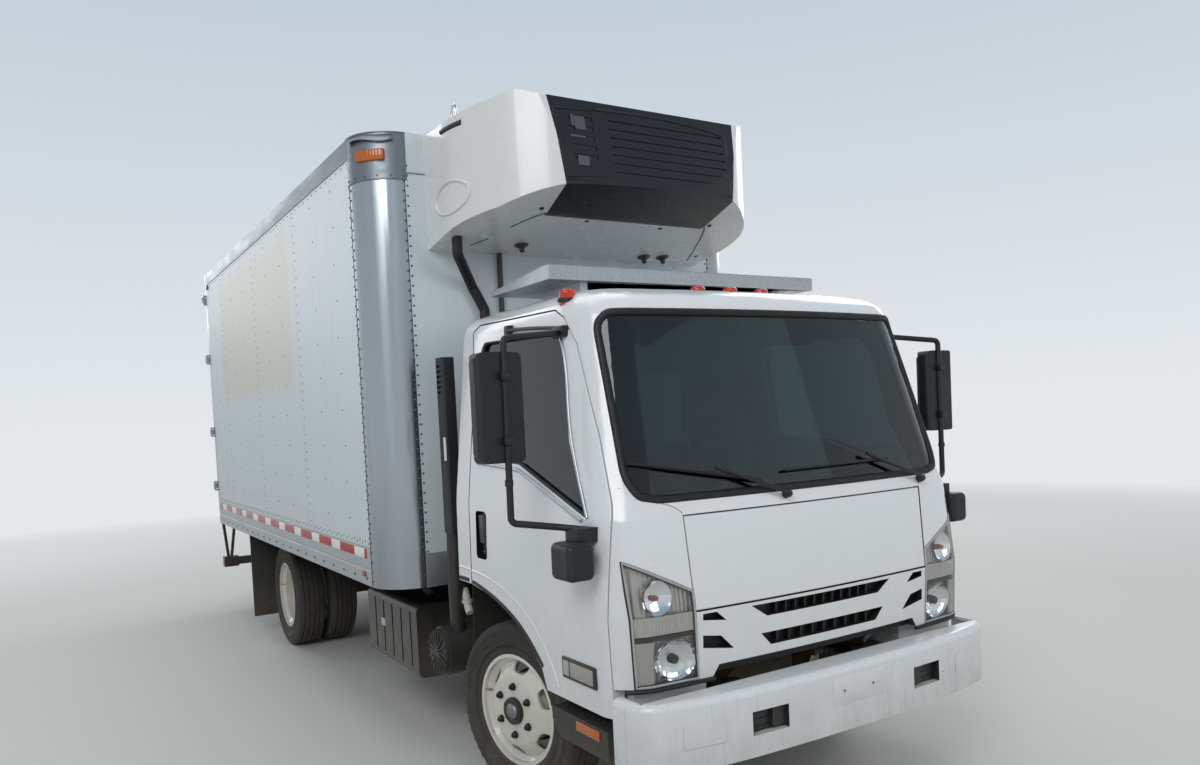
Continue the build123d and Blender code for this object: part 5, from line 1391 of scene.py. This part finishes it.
# Air intake
# A ribbed canister behind the cab's right corner, fed by a moulded snorkel, with a bellows and a white elbow.
intake_black = moulded("black intake plastic", "#131417", 0.48, 1.4, "#746C60", 0.5, 0.3, 1.6)
rounded("air_intake", intake_black, 0.0025, "black_plastic")
flag = block("snorkel_flag", (-0.9862, 0.4705, 1.545), (-0.9845, 0.5000, 1.662), 0.0006, 1)
dress(flag, "root", moulded("white plastic flag", "#DADBD8", 0.45, 2.0), "body_panel")
route = [place(*spot) for spot in ((-0.930, 0.515, 1.170), (-0.925, 0.520, 1.080), (-0.915, 0.535, 0.980),
                                   (-0.905, 0.560, 0.900), (-0.900, 0.590, 0.820), (-0.900, 0.620, 0.720))]
bellows = [tube("bellows", route, 0.030)]
for before, after in zip(route, route[1:]):
    bellows += [spun("ring", [(0.027, -0.009), (0.036, -0.005), (0.036, 0.005), (0.027, 0.009)],
                     before.lerp(after, share), after - before, 20) for share in (0.15, 0.5, 0.85)]
dress(joined("intake_bellows", bellows), "root", hose_rubber, "black_plastic")
elbow = ((0.470, 0.770), (0.500, 0.800), (0.500, 0.845), (0.530, 0.880))
elbow = tube("elbow", [place(-0.905, y, z) for y, z in elbow], 0.021)
collar = spun("collar", [(0.021, -0.010), (0.027, -0.008), (0.027, 0.008), (0.021, 0.010)],
              place(-0.905, 0.499, 0.825), steps=20)
elbow_white = moulded("white elbow plastic", "#C9C6BC", 0.45, 2.0, "#7B7263", 0.5)
dress(joined("intake_elbow", [elbow, collar]), "root", elbow_white, "body_panel")


# Cab interior
# A grained grey dashboard, a two-spoke wheel, and two cloth seats on moulded bases: foam cushions
# and backs with sewn channels, and headrests.
dash_grey = moulded("grained dashboard plastic", "#2C2D30", 0.6, 1.2, "#6B6862", 0.2, 1.0, 1.6)
wheel_grip = moulded("soft grained wheel rim", "#141416", 0.5, 1.0, "#57544F", 0.15, 1.0, 1.6)
rounded("dashboard", dash_grey, 0.006, "dark_plastic", 3)
rounded("steering_wheel", wheel_grip, 0.0015, "dark_plastic")
seat_cloth, tree, shader, spot = new_finish("woven grey seat cloth")
# Threads 3 mm apart, coarser than the real cloth so that they show
weave = add_node(tree, "TexVoronoi", {"Vector": spot, "Scale": 1000 / 3.0}, feature="F1").outputs["Distance"]
worn = add_node(tree, "TexNoise", {"Vector": spot, "Scale": 9.0, "Detail": 5.0}).outputs["Fac"]
tone = add_node(tree, "Mix", {0: worn, 6: linear("#3A3C40"), 7: linear("#55575A")},
                data_type="RGBA").outputs[2]
tone = add_node(tree, "Mix", {0: weave, 6: tone, 7: linear("#232427")}, data_type="RGBA").outputs[2]
grain = add_node(tree, "Bump", {"Height": weave, "Strength": 0.5, "Distance": 0.0012}).outputs[0]
wire(tree, shader, {"Base Color": tone, "Roughness": 0.85, "Sheen Weight": 0.35, "Sheen Roughness": 0.5,
                    "Normal": grain})


def cushion(name, low, high, crown, frames=14):
    """A foam pad: a block remeshed, swollen by cloth pressure against a cap, and smoothed."""
    pad = block(name, low, high, 0.03, 3)
    modify(pad, "REMESH", mode="VOXEL", voxel_size=0.014)
    start = [vertex.co.copy() for vertex in pad.data.vertices]
    cloth = pad.modifiers.new("foam", "CLOTH")
    cloth.settings.use_pressure = True
    cloth.settings.uniform_pressure_force = 4.0
    cloth.settings.effector_weights.gravity = 0.0
    bpy.context.scene.frame_end = frames
    for frame_number in range(1, frames + 1):
        bpy.context.scene.frame_set(frame_number)
    swollen = pad.evaluated_get(bpy.context.evaluated_depsgraph_get())
    shifts = [vertex.co - was for vertex, was in zip(swollen.data.vertices, start)]
    pad.modifiers.remove(cloth)
    bpy.context.scene.frame_set(1)
    for vertex, was, shift in zip(pad.data.vertices, start, shifts):
        vertex.co = was + shift * min(1.0, crown / max(shift.length, 1e-9))
    modify(pad, "SUBSURF", levels=1, render_levels=1)
    for face in pad.data.polygons:
        face.use_smooth = True
    return pad


def sewn(pad, wanted, lines, depth=0.008, reach=0.010):
    """Press sewn channels into the side of a pad that a test wants, straight across it at some places."""
    for vertex in pad.data.vertices:
        if wanted(vertex.normal):
            near = min(abs(vertex.co.x - line) for line in lines)
            vertex.co -= vertex.normal * depth * math.exp(-(near / reach) ** 2)


trim_grey = moulded("dark grey trim plastic", "#26292C", 0.6, 1.5, "#6E6A62", 0.2, 0.9, 1.4)
seat_base_black = moulded("seat base plastic", "#18191B", 0.55, 1.5, "#6A665E", 0.3, 0.9, 1.3)
foot = place(0, 0.185, 1.150)
LEAN = Matrix.Translation(foot) @ Matrix.Rotation(math.radians(-6.9), 4, "X") @ Matrix.Translation(-foot)
SEAT_X = 0.590
seat = cushion("seat_cushion_right", (-SEAT_X - 0.205, -0.315, 1.075), (-SEAT_X + 0.205, 0.120, 1.178), 0.012)
back = cushion("seat_back_right", (-SEAT_X - 0.190, 0.150, 1.180), (-SEAT_X + 0.190, 0.225, 1.580), 0.012)
rest = cushion("headrest_right", (-SEAT_X - 0.115, 0.158, 1.608), (-SEAT_X + 0.115, 0.208, 1.742), 0.008)
channels = [-SEAT_X + dx for dx in (-0.135, -0.045, 0.045, 0.135)]
sewn(seat, lambda normal: normal.z > 0.4, channels)
sewn(back, lambda normal: normal.y < -0.4, channels)
for pad in (back, rest):
    pad.data.transform(LEAN)
pads = [seat, back, rest]
for pattern in pads[:]:
    pad = pattern.copy()
    pad.data = pattern.data.copy()
    pad.name = pattern.name.replace("right", "left")
    pad.data.transform(Matrix.Translation((2 * SEAT_X, 0, 0)))
    bpy.context.scene.collection.objects.link(pad)
    pads.append(pad)
for pad in pads:
    dress(pad, "cab", seat_cloth, "seat_cloth")
    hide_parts("seats")
recess_low, recess_high = place(0, 0.040, 1.088), place(0, 0.172, 1.322)


def in_recess(face):
    """True for the faces of the recess behind a door's handle."""
    spot = face.center
    near = recess_low.y < spot.y < recess_high.y and recess_low.z < spot.z < recess_high.z
    return near and abs(spot.x) > 0.955 and (abs(face.normal.x) < 0.6 or abs(spot.x) < 0.966)


for side, hand in SIDES:
    base = beside("base", side, 0.395, 0.785, -0.300, 0.110, 1.000, 1.080, 0.014)
    lever = beside("lever", side, 0.786, 0.800, -0.220, -0.120, 1.040, 1.062, 0.005)
    posts = [tube("post", [place(side * SEAT_X + dx, y, z) for y, z in ((0.232, 1.560), (0.247, 1.680))],
                  0.007) for dx in (-0.055, 0.055)]
    dress(joined("seat_base_" + hand, [base, lever, *posts]), "cab", seat_base_black, "dark_plastic")
    # Door trim: an armrest, a pull and a window winder on a pressed card
    rest = beside("rest", side, 0.868, 0.925, -0.420, 0.060, 1.235, 1.285, 0.016)
    pull = beside("pull", side, 0.905, 0.926, -0.640, -0.500, 1.300, 1.345, 0.008)
    hub = spun("hub", [(0.0, 0.030), (0.016, 0.028), (0.022, 0.010), (0.024, 0.0)],
               place(side * 0.926, -0.330, 1.130), (-side, 0, 0), 20)
    crank = tube("crank", [place(side * x, y, z) for x, y, z in (
        (0.902, -0.330, 1.130), (0.894, -0.280, 1.100), (0.894, -0.230, 1.080))], 0.007)
    fittings = joined("door_armrest_" + hand, [rest, pull, hub, crank])
    dress(fittings, "door_" + hand, seat_base_black, "dark_plastic")
    card = bpy.data.objects["door_" + hand + "_formed"]
    faced(card, trim_grey, lambda face: face.normal.x * side < -0.8)
    faced(card, gloss_black, in_recess)
# Grey moulded trim lines the cab inside, and the walls of the slots over the grille are black
heart = place(0, -0.30, 1.60)
BACK_WALL, SLOT_DEPTH = place(0, 0.36, 0).y, place(0, -0.98, 0).y


def lined(face):
    """True for the faces inside the cab."""
    spot = face.center
    inside = abs(spot.x) < 0.955 and spot.z > 0.95 and spot.y < BACK_WALL
    return inside and face.normal.dot((heart - spot).normalized()) > 0.25


def in_slot(face):
    """True for the walls of the slots over the grille."""
    spot = face.center
    return abs(spot.x) < 0.645 and 0.742 < spot.z < 1.075 and spot.y < SLOT_DEPTH and face.normal.y > -0.6


faced(shell, trim_grey, lined)
faced(shell, black_plastic, in_slot)
visors = [beside("visor", side, 0.12, 0.60, -0.470, -0.440, 2.035, 2.150, 0.012) for side in (-1, 1)]
cluster = block("cluster", (0.43, -0.820, 1.290), (0.75, -0.730, 1.395), 0.020, 3)
stack = block("stack", (-0.16, -0.765, 1.110), (0.16, -0.700, 1.305), 0.014)
dress(joined("dash_cluster", [cluster, stack]), "cab", dash_grey, "dark_plastic")
dress(joined("sun_visors", visors), "cab", trim_grey, "dark_plastic")

low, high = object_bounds()
